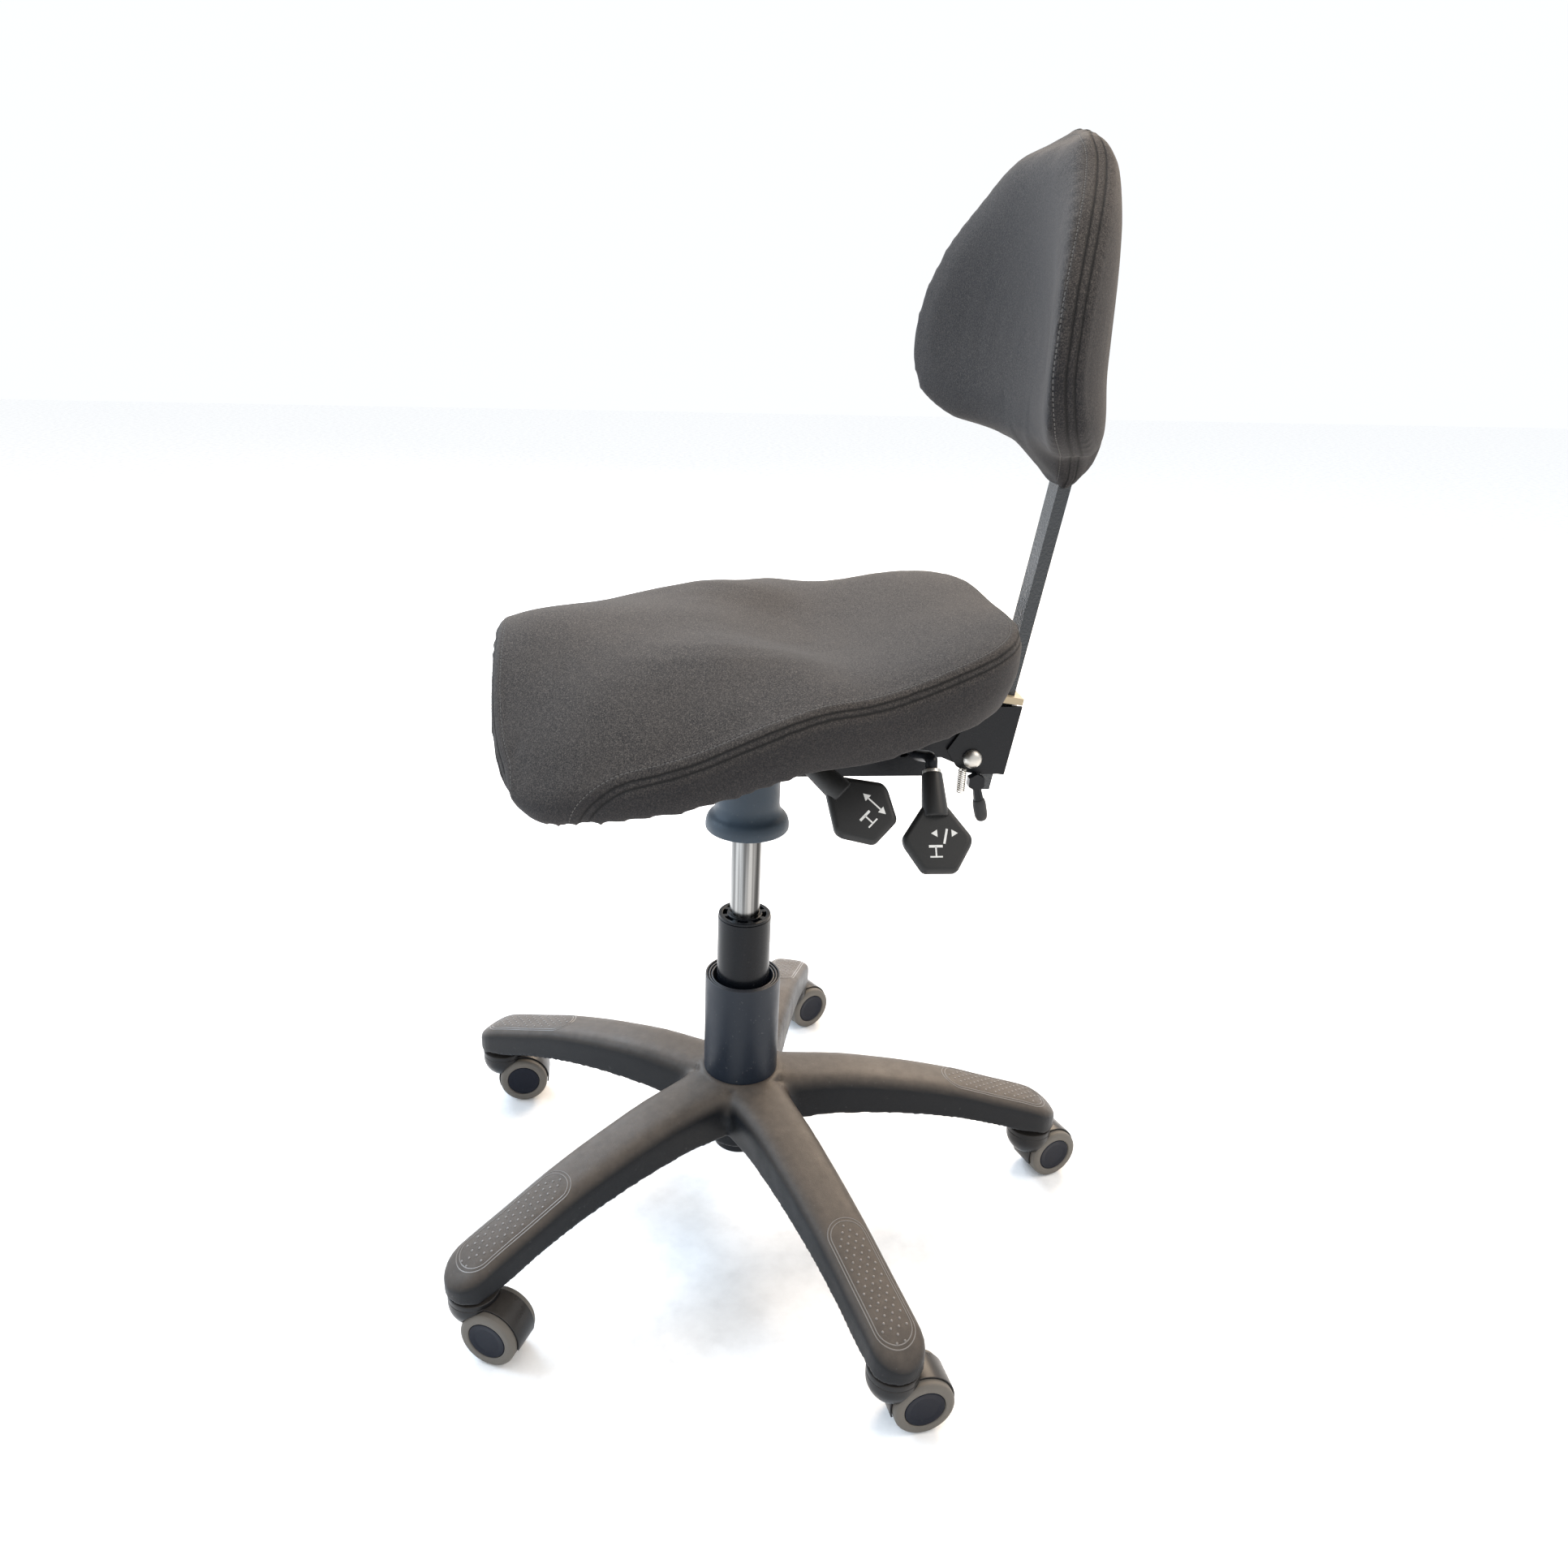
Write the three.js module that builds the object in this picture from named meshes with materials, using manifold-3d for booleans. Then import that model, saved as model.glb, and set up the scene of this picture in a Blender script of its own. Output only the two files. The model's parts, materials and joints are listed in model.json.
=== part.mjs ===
// Saddle stool with a backrest: a five-star base on twin-wheel castors, a gas lift, a saddle seat with two
// paddle levers, and a backrest on a flat post. Millimetres, +Z up, the seat's front faces -Y,
// origin on the floor on the lift's axis.
import * as THREE from 'three';
import * as BufferGeometryUtils from 'three/addons/utils/BufferGeometryUtils.js';
import Module from 'manifold-3d';

// ---------------------------------------------------------------- driving dimensions
const GAP = 0.3;                    // clearance between pieces that touch

// base and castors
const STEM_CIRCLE_R = 306.7;        // castor stems' distance from the lift's axis
const FIRST_ARM_DEG = 19.5;         // direction of the first arm from +X
const CASTOR_TRAIL_DEG = [98.6, 108.6, 120.3, 90.5, 64.8];   // way each castor's wheels trail
const WHEEL_R = 26;
const WHEEL_OUTER_X = 20.2;         // wheel's outer face from the castor's middle plane
const WHEEL_INNER_X = 3.4;
const CASTOR_TRAIL = 22.4;          // axle's distance behind the stem
const COLLAR_R = 22.3;
const COLLAR_TOP_Z = 59;
const STEM_R = 5.5;
const ARM_TIP_R = 24;
const ARM_TIP_LOW_Z = 62;
const HUB_TOP_Z = 149.5;
const HUB_R = 43;
const HUB_LOW_Z = 74;

// lift
const COLUMN_R = 25;
const COLUMN_TOP_Z = 315.7;
const COLUMN_LOW_Z = 60;
const GAS_R = 14;
const GAS_LOW_Z = 195;
const GAS_TOP_Z = 499;
const SLEEVE_LOW_Z = 149.9;
const SLEEVE_TOP_Z = 253.2;
const CAP_LOW_Z = 406.2;
const CAP_TOP_Z = 477.4;

// mechanism under the seat
const HOUSING_LOW_Z = 478;
const HOUSING_TOP_Z = 514;
const HOUSING_HALF_X = 58;
const HOUSING_FRONT_Y = -80;
const HOUSING_REAR_Y = 150;
const WALL = 3;
const LEVER_PIVOT_X = 25;
const LEVER_Z = 503;
const ROD_R = 5;
const PIVOT_Y = 197;
const PIVOT_Z = 479;

// seat: half length, half widths at front, middle and rear, and knots along Y for height and droop
const SEAT_MID_Y = -2;
const SEAT_HALF_LENGTH = 213;
const SEAT_WIDTHS = [[-1, 198], [0, 222], [0.55, 188], [1, 180]];
const SEAT_CORNER_FRONT = 4.0;
const SEAT_CORNER_REAR = 3.5;
const SPINE_Z = [[-230, 614], [-140, 608], [-50, 606], [50, 585], [150, 612], [230, 634]];
const DROOP = [[-230, 160], [-140, 62], [-50, 27], [50, -14], [150, -9], [230, -9]];
const DROOP_AT_X = 190;
const DROOP_POWER = 1.8;
// Thigh bulges each side of the middle: height by y, centred THIGH_X out.
const THIGH = [[-150, 0], [-94, 7], [-66, 9.5], [-30, 11], [10, 10], [60, 3], [110, 0], [230, 0]];
const THIGH_X = 120;
const THIGH_SPREAD = 50;
const EDGE_ROUND_FRONT = 18;
const EDGE_ROUND_REAR = 13;
const SIDE_HEIGHT = [[-230, 20], [-100, 36], [0, 47], [230, 62]];
const SEAT_CORE = 48;               // cushion's thickness in its middle
const PAN = 7;                      // seat pan's thickness

// backrest
const POST_W = 24;
const POST_T = 11;
const POST_TILT = THREE.MathUtils.degToRad(8.8);
const POST_REF = [254.2, 715];      // [y, z] of a point on the post's middle line
const POST_LOW_Z = 446;
const POST_BEND_Z = 738;            // above this the post stands upright inside the back
const POST_HIGH_Z = 862;
const BACK_CURVE = 740;             // the back's level curve: y falls by x * x / this
const BACK_OUTLINE = [[714, 19], [740, 44], [750, 90], [756, 150], [780, 196], [815, 208], [850, 201], [900, 167],
  [945, 104], [967, 65], [974, 34]];            // [z, half width]
const BACK_FRONT = [[714, 245], [738, 226], [760, 211], [820, 213], [945, 205], [962, 209], [974, 226]];        // [z, y on the middle plane]
const BACK_REAR = [[714, 246], [725, 256], [753, 262], [815, 255], [945, 254], [974, 243]];
const BACK_SPINE = [[714, 18], [776, 20], [850, 19], [900, 10], [974, 0]];   // extra depth over the post

// ---------------------------------------------------------------- helpers
const wasm = await Module();
wasm.setup();
const { Manifold, Mesh: SolidMesh } = wasm;
const rad = THREE.MathUtils.degToRad;

function solid(geometry) {
  const g = geometry.index ? geometry.toNonIndexed() : geometry.clone();
  for (const name of Object.keys(g.attributes)) if (name !== 'position') g.deleteAttribute(name);
  const merged = BufferGeometryUtils.mergeVertices(g, 1e-4);
  const made = new Manifold(new SolidMesh({
    numProp: 3,
    vertProperties: merged.attributes.position.array,
    triVerts: new Uint32Array(merged.index.array),
  }));
  return made.volume() < 0 ? solid(flipped(merged)) : made;
}

function flipped(geometry) {
  const index = geometry.index.array.slice();
  for (let i = 0; i < index.length; i += 3) [index[i + 1], index[i + 2]] = [index[i + 2], index[i + 1]];
  geometry.setIndex([...index]);
  return geometry;
}

function geometryOf(made) {
  const m = made.getMesh();
  const g = new THREE.BufferGeometry();
  g.setAttribute('position', new THREE.BufferAttribute(m.vertProperties, 3));
  g.setIndex(new THREE.BufferAttribute(m.triVerts, 1));
  g.computeVertexNormals();
  return g;
}

// Turned piece about Z from a closed profile of [radius, z] points.
function turned(profile, segments = 32) {
  const points = [...profile, profile[0]].map(([r, z]) => new THREE.Vector2(r, z));
  return new THREE.LatheGeometry(points, segments).rotateX(Math.PI / 2);
}

const ring = (inner, outer, low, high, segments) =>
  turned([[inner, low], [outer, low], [outer, high], [inner, high]], segments);

function disc(radius, low, high, segments = 24) {
  const g = new THREE.CylinderGeometry(radius, radius, high - low, segments);
  return g.rotateX(Math.PI / 2).translate(0, 0, (low + high) / 2);
}

// Rod along X from x0 to x1 at (y, z).
function rodX(radius, x0, x1, y, z, segments = 20) {
  const g = new THREE.CylinderGeometry(radius, radius, x1 - x0, segments);
  return g.rotateZ(Math.PI / 2).translate((x0 + x1) / 2, y, z);
}

function block(low, high) {
  const size = high.map((v, i) => v - low[i]);
  return new THREE.BoxGeometry(...size).translate(...high.map((v, i) => (v + low[i]) / 2));
}

// Closed loft through rings of points; each ring is an array of [x, y, z] with the same count.
function loft(rings) {
  const count = rings[0].length;
  const position = [];
  const index = [];
  rings.forEach((r) => r.forEach((p) => position.push(...p)));
  for (let i = 0; i + 1 < rings.length; i++) {
    for (let j = 0; j < count; j++) {
      const a = i * count + j;
      const b = i * count + (j + 1) % count;
      index.push(a, b, a + count, b, b + count, a + count);
    }
  }
  [0, rings.length - 1].forEach((i, end) => {
    const middle = position.length / 3;
    const centre = rings[i].reduce((s, p) => s.map((v, k) => v + p[k] / count), [0, 0, 0]);
    position.push(...centre);
    for (let j = 0; j < count; j++) {
      const a = i * count + j;
      const b = i * count + (j + 1) % count;
      index.push(...(end ? [a, b, middle] : [b, a, middle]));
    }
  });
  const g = new THREE.BufferGeometry();
  g.setAttribute('position', new THREE.Float32BufferAttribute(position, 3));
  g.setIndex(index);
  return g;
}

// Smooth curve through [t, value] knots, with flat tangents where the values turn.
function through(knots, t) {
  const n = knots.length;
  let i = 0;
  while (i < n - 2 && t > knots[i + 1][0]) i++;
  const slope = (k) => (knots[k + 1][1] - knots[k][1]) / (knots[k + 1][0] - knots[k][0]);
  const tangent = (k) => {
    if (k === 0) return slope(0);
    if (k === n - 1) return slope(n - 2);
    const [a, b] = [slope(k - 1), slope(k)];
    return a * b <= 0 ? 0 : 2 * a * b / (a + b);
  };
  const h = knots[i + 1][0] - knots[i][0];
  const u = (t - knots[i][0]) / h;
  const [a, b, ta, tb] = [knots[i][1], knots[i + 1][1], tangent(i) * h, tangent(i + 1) * h];
  return (2 * u ** 3 - 3 * u ** 2 + 1) * a + (u ** 3 - 2 * u ** 2 + u) * ta
    + (3 * u ** 2 - 2 * u ** 3) * b + (u ** 3 - u ** 2) * tb;
}

// Plate from a [y, z] outline, between x0 and x1 along X.
function plateYZ(outline, x0, x1) {
  const shape = new THREE.Shape(outline.map(([y, z]) => new THREE.Vector2(y, z)));
  const g = new THREE.ExtrudeGeometry(shape, { depth: x1 - x0, bevelEnabled: false });
  return g.applyMatrix4(new THREE.Matrix4().set(0, 0, 1, x0, 1, 0, 0, 0, 0, 1, 0, 0, 0, 0, 0, 1));
}

// Round bar along a smooth curve.
function bar(points, radius, steps, sides = 10) {
  const curve = new THREE.CatmullRomCurve3(points.map((p) => new THREE.Vector3(...p)));
  const section = new THREE.Shape();
  for (let i = 0; i < sides; i++) {
    const a = 2 * Math.PI * i / sides;
    if (i) section.lineTo(radius * Math.cos(a), radius * Math.sin(a));
    else section.moveTo(radius, 0);
  }
  section.closePath();
  return new THREE.ExtrudeGeometry(section, { steps, extrudePath: curve, bevelEnabled: false });
}

function union(...parts) {
  return parts.map((p) => (p instanceof THREE.BufferGeometry ? solid(p) : p)).reduce((a, b) => a.add(b));
}

function minus(body, ...cuts) {
  return cuts.reduce((a, c) => a.subtract(c instanceof THREE.BufferGeometry ? solid(c) : c), body);
}

// ---------------------------------------------------------------- materials
const finish = {
  nylon: { color: 0x1d1c1c, roughness: 0.55, metalness: 0 },
  plastic: { color: 0x17181a, roughness: 0.45, metalness: 0 },
  capPlastic: { color: 0x2b333b, roughness: 0.5, metalness: 0 },
  tyre: { color: 0x6d6a66, roughness: 0.7, metalness: 0 },
  chrome: { color: 0xc8cacc, roughness: 0.12, metalness: 1 },
  steel: { color: 0xb5b2ac, roughness: 0.35, metalness: 1 },
  coated: { color: 0x101216, roughness: 0.35, metalness: 0.2 },
  fabric: { color: 0x2a2828, roughness: 0.95, metalness: 0 },
  bush: { color: 0xb09a74, roughness: 0.5, metalness: 0 },
  rubber: { color: 0x101010, roughness: 0.8, metalness: 0 },
  board: { color: 0x3a3530, roughness: 0.8, metalness: 0 },
};

const stool = new THREE.Group();

function piece(name, shape, look, parent = stool) {
  const geometry = shape instanceof THREE.BufferGeometry ? shape : geometryOf(shape);
  const mesh = new THREE.Mesh(geometry, new THREE.MeshStandardMaterial(finish[look]));
  mesh.name = name;
  parent.add(mesh);
  return mesh;
}

// ---------------------------------------------------------------- star base
const ARM_TOP = [[20, 149], [90, 147], [150, 138], [213, 124], [260, 109], [300, 93], [331, 76]];
const ARM_LOW = [[20, 97], [90, 104], [140, 101], [200, 92.5], [256, 79], [290, 66], [331, 62]];
const ARM_RIB_LOW = [[48, 91], [196, 91], [239, 83], [282, 75.5], [300, 72]];
const ARM_HALF_WIDTH = [[20, 33], [70, 28], [150, 25.5], [250, 24], [331, 24]];

// One arm's section at distance r: flat underside, upright sides, crowned top.
function armRing(r, widthScale = 1, low = through(ARM_LOW, r)) {
  const top = through(ARM_TOP, r);
  const w = through(ARM_HALF_WIDTH, r) * widthScale;
  const shoulder = low + (top - low) * 0.62;
  const points = [[-w * 0.97, low], [-w, shoulder]];
  for (const a of [35, 65, 90, 115, 145]) {
    points.push([-w * Math.cos(rad(a)), shoulder + (top - shoulder) * Math.sin(rad(a)) ** 0.8]);
  }
  points.push([w, shoulder], [w * 0.97, low]);
  return points.map(([y, z]) => [r, y, z]);
}

function armSolid() {
  const radii = [20, 100, 160, 220, 270, STEM_CIRCLE_R];
  const rings = radii.map((r) => armRing(r));
  // The tip closes as a half round about the stem.
  for (const a of [30, 60, 82]) {
    const r = STEM_CIRCLE_R + ARM_TIP_R * Math.sin(rad(a));
    const lower = 1 - 0.35 * (1 - Math.cos(rad(a)));
    rings.push(armRing(STEM_CIRCLE_R, Math.cos(rad(a)), ARM_TIP_LOW_Z)
      .map(([, y, z]) => [r, y, ARM_TIP_LOW_Z + (z - ARM_TIP_LOW_Z) * lower]));
  }
  return solid(loft(rings));
}

// Two channels in the arm's underside leave a rib between them.
function armChannel(side) {
  const rings = [52, 130, 220, 278].map((r) => {
    const low = through(ARM_LOW, r);
    const top = through(ARM_TOP, r) - 8;
    const w = through(ARM_HALF_WIDTH, r) - 4;
    return [[2, low - 6], [w, low - 6], [w, low + (top - low) * 0.5], [w * 0.6, top], [2, top]]
      .map(([y, z]) => [r, side * y, Math.max(z, low - 6)]);
  });
  return solid(loft(rings));
}

// The rib hangs a little below the side walls.
function armRib() {
  return solid(loft(ARM_RIB_LOW.map(([r, z]) => [[r, -2.2, z], [r, 2.2, z], [r, 2.2, z + 30], [r, -2.2, z + 30]])));
}

function starBase() {
  let base = union(
    turned([[0, HUB_LOW_Z], [34, HUB_LOW_Z], [36, 96], [HUB_R, 112], [46, 128], [HUB_R, 143], [39, HUB_TOP_Z],
      [0, HUB_TOP_Z]], 30),
  );
  const arm = armSolid();
  const socket = solid(disc(STEM_R + GAP, ARM_TIP_LOW_Z - 5, 80, 12));
  const channels = union(armChannel(1), armChannel(-1));
  const rib = armRib();
  for (let i = 0; i < 5; i++) {
    base = base.add(arm.rotate(0, 0, FIRST_ARM_DEG + 72 * i));
  }
  for (let i = 0; i < 5; i++) {
    const turn = FIRST_ARM_DEG + 72 * i;
    base = base.subtract(channels.rotate(0, 0, turn)).add(rib.rotate(0, 0, turn));
    base = base.subtract(socket.translate(STEM_CIRCLE_R, 0, 0).rotate(0, 0, turn));
  }
  return minus(base, disc(COLUMN_R + 0.45, HUB_LOW_Z - 20, HUB_TOP_Z + 10, 30));
}

piece('star_base', starBase(), 'nylon');

// ---------------------------------------------------------------- castors
const AXLE_R = 3;

// In a castor's own frame the stem is on Z and the wheels trail along +X; the axle lies along Y.
function wheel(side) {
  const [i, o] = [WHEEL_INNER_X, WHEEL_OUTER_X];
  const profile = [[AXLE_R + GAP, i], [WHEEL_R, i], [WHEEL_R, o - 3], [WHEEL_R - 3, o], [WHEEL_R - 8, o - 0.4],
    [AXLE_R + GAP, o - 1.4]];
  return turned(profile, 20).rotateX(side > 0 ? -Math.PI / 2 : Math.PI / 2).translate(CASTOR_TRAIL, 0, WHEEL_R);
}

function castorHood() {
  const fenderR = WHEEL_R + 1.9;
  const halfWidth = 13.4;
  const drum = (r, y0, y1) => solid(new THREE.CylinderGeometry(r, r, y1 - y0, 24)
    .translate(CASTOR_TRAIL, (y0 + y1) / 2, WHEEL_R));
  const collar = turned([[0, 30], [15, 30], [COLLAR_R, 43], [COLLAR_R, COLLAR_TOP_Z - 1.2],
    [COLLAR_R - 1.2, COLLAR_TOP_Z], [0, COLLAR_TOP_Z]], 24);
  let hood = union(drum(fenderR, -halfWidth, halfWidth), collar);
  const clear = WHEEL_R + 0.5;
  hood = hood.subtract(drum(clear, WHEEL_INNER_X - 0.5, 30)).subtract(drum(clear, -30, 0.5 - WHEEL_INNER_X));
  const belowFender = block([CASTOR_TRAIL + 1, -30, -5], [80, 30, WHEEL_R - 6]);
  const belowAxle = block([-40, -30, -5], [CASTOR_TRAIL + 1.1, 30, WHEEL_R - 9]);
  return minus(hood, belowFender, belowAxle, disc(STEM_R + 0.2, 47.2, 70, 12), rodX(AXLE_R + GAP, -30, 30, 0, 0, 12)
    .rotateZ(Math.PI / 2).translate(CASTOR_TRAIL, 0, WHEEL_R));
}

const hoodShape = geometryOf(castorHood());
const stemShape = turned([[0, 47.6], [STEM_R, 47.6], [STEM_R, 60.5], [STEM_R - 1.2, 61.2], [STEM_R - 1.2, 74], [STEM_R, 74.8],
  [STEM_R - 0.6, 79.5], [0, 79.5]], 12);
const axleShape = rodX(AXLE_R, -(WHEEL_OUTER_X - 2.2), WHEEL_OUTER_X - 2.2, 0, 0, 12).rotateZ(Math.PI / 2)
  .translate(CASTOR_TRAIL, 0, WHEEL_R);

CASTOR_TRAIL_DEG.forEach((heading, i) => {
  const castor = new THREE.Group();
  const turn = rad(FIRST_ARM_DEG + 72 * i);
  castor.position.set(STEM_CIRCLE_R * Math.cos(turn), STEM_CIRCLE_R * Math.sin(turn), 0);
  castor.rotation.z = rad(heading);
  stool.add(castor);
  piece(`castor_stem_${i + 1}`, stemShape, 'steel', castor);
  piece(`castor_hood_${i + 1}`, hoodShape, 'plastic', castor);
  piece(`castor_axle_${i + 1}`, axleShape, 'steel', castor);
  piece(`wheel_left_${i + 1}`, wheel(1), 'tyre', castor);
  piece(`wheel_right_${i + 1}`, wheel(-1), 'tyre', castor);
});

// ---------------------------------------------------------------- lift column
const BUSH_LOW_Z = 236;

piece('column_outer_tube', turned([[6.5, COLUMN_LOW_Z], [COLUMN_R - 1.5, COLUMN_LOW_Z], [COLUMN_R, COLUMN_LOW_Z + 2],
  [COLUMN_R, COLUMN_TOP_Z], [COLUMN_R - 2.5, COLUMN_TOP_Z], [COLUMN_R - 2.5, COLUMN_LOW_Z + 5],
  [6.5, COLUMN_LOW_Z + 5]], 32), 'coated');

function guideBush() {
  const body = solid(turned([[GAS_R + 0.1, BUSH_LOW_Z], [COLUMN_R - 2.8, BUSH_LOW_Z], [COLUMN_R - 2.8, COLUMN_TOP_Z + GAP],
    [COLUMN_R - 0.4, COLUMN_TOP_Z + GAP], [COLUMN_R - 1.2, COLUMN_TOP_Z + 2.6], [GAS_R + 0.1, COLUMN_TOP_Z + 2.6]], 32));
  const window = solid(block([GAS_R + 2.2, -3, COLUMN_TOP_Z - 6], [COLUMN_R - 4.2, 3, COLUMN_TOP_Z + 4]));
  let bush = body;
  for (let i = 0; i < 6; i++) bush = bush.subtract(window.rotate(0, 0, 60 * i + 10));
  return bush;
}

piece('guide_bush', guideBush(), 'plastic');
piece('piston_rod', turned([[0, 55], [7.5, 55], [7.5, 59.6], [5, 59.6], [5, 300], [0, 300]], 20), 'steel');
piece('thrust_bearing', ring(5.4, 15, COLUMN_LOW_Z + 5.3, COLUMN_LOW_Z + 12, 20), 'steel');

// Three nested cover sleeves, standing on the hub.
[['outer', 35.9, SLEEVE_TOP_Z], ['middle', 33.2, SLEEVE_TOP_Z - 0.6], ['inner', 30.5, SLEEVE_TOP_Z - 1.2]]
  .forEach(([name, r, top]) => {
    const profile = [[r - 1.9, SLEEVE_LOW_Z], [r, SLEEVE_LOW_Z], [r, top], [r - 1.9, top]];
    piece(`cover_sleeve_${name}`, turned(profile, 28), 'plastic');
  });

piece('gas_cylinder', turned([[11, GAS_LOW_Z], [GAS_R, GAS_LOW_Z], [GAS_R, GAS_TOP_Z], [3.3, GAS_TOP_Z],
  [3.3, GAS_TOP_Z - 10], [11, GAS_TOP_Z - 12]], 28), 'chrome');
piece('release_pin', turned([[0, GAS_TOP_Z - 14], [3, GAS_TOP_Z - 14], [3, GAS_TOP_Z + 2.5], [2.4, GAS_TOP_Z + 3],
  [0, GAS_TOP_Z + 3]], 16), 'steel');

// ---------------------------------------------------------------- under the seat
piece('flared_cap', turned([[27.4, CAP_LOW_Z], [36.5, CAP_LOW_Z], [38.15, CAP_LOW_Z + 1.6], [38.15, CAP_LOW_Z + 7],
  [36.5, CAP_LOW_Z + 12], [31.5, CAP_LOW_Z + 17], [29, CAP_LOW_Z + 22], [29, CAP_TOP_Z], [26.4, CAP_TOP_Z],
  [26.4, CAP_LOW_Z + 20], [27.4, CAP_LOW_Z + 16]], 28), 'capPlastic');

const SEAT_BOLTS = [[42, -60, 'front_right'], [-42, -60, 'front_left'], [42, 100, 'rear_right'], [-42, 100, 'rear_left']];
const EAR_IN = 13.5;                // the fixed ears' inner and outer faces from the middle plane
const EAR_OUT = 16.5;

function mechanismHousing() {
  const [hx, y0, y1, z0, z1] = [HOUSING_HALF_X, HOUSING_FRONT_Y, HOUSING_REAR_Y, HOUSING_LOW_Z, HOUSING_TOP_Z];
  let housing = minus(solid(block([-hx, y0, z0], [hx, y1, z1])),
    block([-hx + WALL, y0 + WALL, z0 + WALL], [hx - WALL, y1 - WALL, z1 + 5]));
  housing = housing.add(solid(disc(22, z0 - 0.2, z0 + 18, 20)));
  const ear = [[y1 - 6, z0 + 1], [y1 - 6, z1 - 4], [172, z1 - 6], [PIVOT_Y + 6, PIVOT_Z + 9], [PIVOT_Y + 10, PIVOT_Z],
    [PIVOT_Y + 5, PIVOT_Z - 9], [PIVOT_Y - 6, PIVOT_Z - 9], [170, z0 + 1]];
  for (const side of [1, -1]) {
    const [a, b] = side > 0 ? [EAR_IN, EAR_OUT] : [-EAR_OUT, -EAR_IN];
    housing = housing.add(solid(plateYZ(ear, a, b)));
  }
  // Lugs inside the rim take the seat bolts from below.
  SEAT_BOLTS.forEach(([x, y]) => {
    const [inner, outer] = x > 0 ? [x - 10, hx - 1] : [-hx + 1, x + 10];
    housing = housing.add(solid(block([inner, y - 10, z1 - 3], [outer, y + 10, z1])));
    housing = housing.subtract(solid(disc(3.5, z1 - 5, z1 + 3, 10).translate(x, y, 0)));
  });
  const slot = (y) => block([hx - 10, y - 8, LEVER_Z - 8], [hx + 10, y + 8, z1 + 2]);
  return minus(housing, disc(GAS_R + 0.35, z0 - 5, z0 + 30, 20), slot(25), slot(131),
    rodX(5.3, -30, 30, PIVOT_Y, PIVOT_Z));
}

piece('mechanism_housing', mechanismHousing(), 'coated');

// Lever rods: the height lever's finger lies over the release pin, the tilt lever's over the lock.
const HEIGHT_PADDLE = { at: [143, 73, 485], turn: 45 };
const TILT_PADDLE = { at: [146, 137, 460], turn: 0 };
const PADDLE_DOWN = new THREE.Vector3(0.616, 0, -0.788);   // down the paddle's face when it isn't turned
const PADDLE_SIDE = new THREE.Vector3(0, 1, 0);
const PADDLE_T = 9;

function paddleFrame({ at, turn }) {
  const down = PADDLE_DOWN.clone().multiplyScalar(Math.cos(rad(turn)))
    .addScaledVector(PADDLE_SIDE, Math.sin(rad(turn)));
  const side = PADDLE_SIDE.clone().multiplyScalar(Math.cos(rad(turn)))
    .addScaledVector(PADDLE_DOWN, -Math.sin(rad(turn)));
  const out = side.clone().cross(down).negate();
  // Columns: side, up the paddle, outward normal.
  return new THREE.Matrix4().makeBasis(side, down.clone().negate(), out).setPosition(...at);
}

// Shield-shaped plate with a tapered neck, in its own frame: X across, Y up to the neck, Z outward.
function paddle(where) {
  const shape = new THREE.Shape([[-10, 25], [-28, -1], [-27, -7], [-15, -27], [-12, -29], [12, -29], [15, -27], [27, -7],
    [28, -1], [10, 25]].map(([x, y]) => new THREE.Vector2(x, y)));
  const plate = new THREE.ExtrudeGeometry(shape, { depth: PADDLE_T - 3, bevelThickness: 1.5, bevelSize: 1.5,
    bevelOffset: -1.5, bevelSegments: 1 }).translate(0, 0, -PADDLE_T / 2 + 1.5);
  const neck = new THREE.CylinderGeometry(8.5, 11, 32, 16).translate(0, 37, 0);
  const hole = new THREE.CylinderGeometry(ROD_R + 0.7, ROD_R + 0.7, 44, 16).translate(0, 42, 0);
  return geometryOf(minus(union(plate, neck), hole)).applyMatrix4(paddleFrame(where));
}

function leverRod(where, wallY, [fingerX, fingerY]) {
  const frame = paddleFrame(where);
  const inside = new THREE.Vector3(0, 21, 0).applyMatrix4(frame);
  const mouth = new THREE.Vector3(0, 55, 0).applyMatrix4(frame);
  const bend = new THREE.Vector3(0, 66, 0).applyMatrix4(frame);
  return bar([[fingerX, fingerY, LEVER_Z + 4.4], [32, (wallY * 2 + fingerY) / 3, LEVER_Z + 3],
    [HOUSING_HALF_X, wallY, LEVER_Z], [80, wallY * 0.7 + bend.y * 0.3, LEVER_Z + (bend.z - LEVER_Z) * 0.3],
    bend.toArray(), mouth.toArray(), inside.toArray()], ROD_R, 15, 8);
}

piece('height_lever_rod', leverRod(HEIGHT_PADDLE, 25, [-4, 0]), 'steel');
piece('height_lever_paddle', paddle(HEIGHT_PADDLE), 'plastic');
piece('tilt_lever_rod', leverRod(TILT_PADDLE, 131, [14, 131]), 'steel');
piece('tilt_lever_paddle', paddle(TILT_PADDLE), 'plastic');

// ---------------------------------------------------------------- seat
function seatTop(x, y, r) {
  const edge = EDGE_ROUND_REAR + (EDGE_ROUND_FRONT - EDGE_ROUND_REAR) * THREE.MathUtils.clamp((60 - y) / 200, 0, 1);
  return through(SPINE_Z, y) - through(DROOP, y) * (Math.abs(x) / DROOP_AT_X) ** DROOP_POWER + through(THIGH, y) * Math.exp(-(((Math.abs(x) - THIGH_X) / THIGH_SPREAD) ** 2)) - edge * r ** 7;
}

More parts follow.
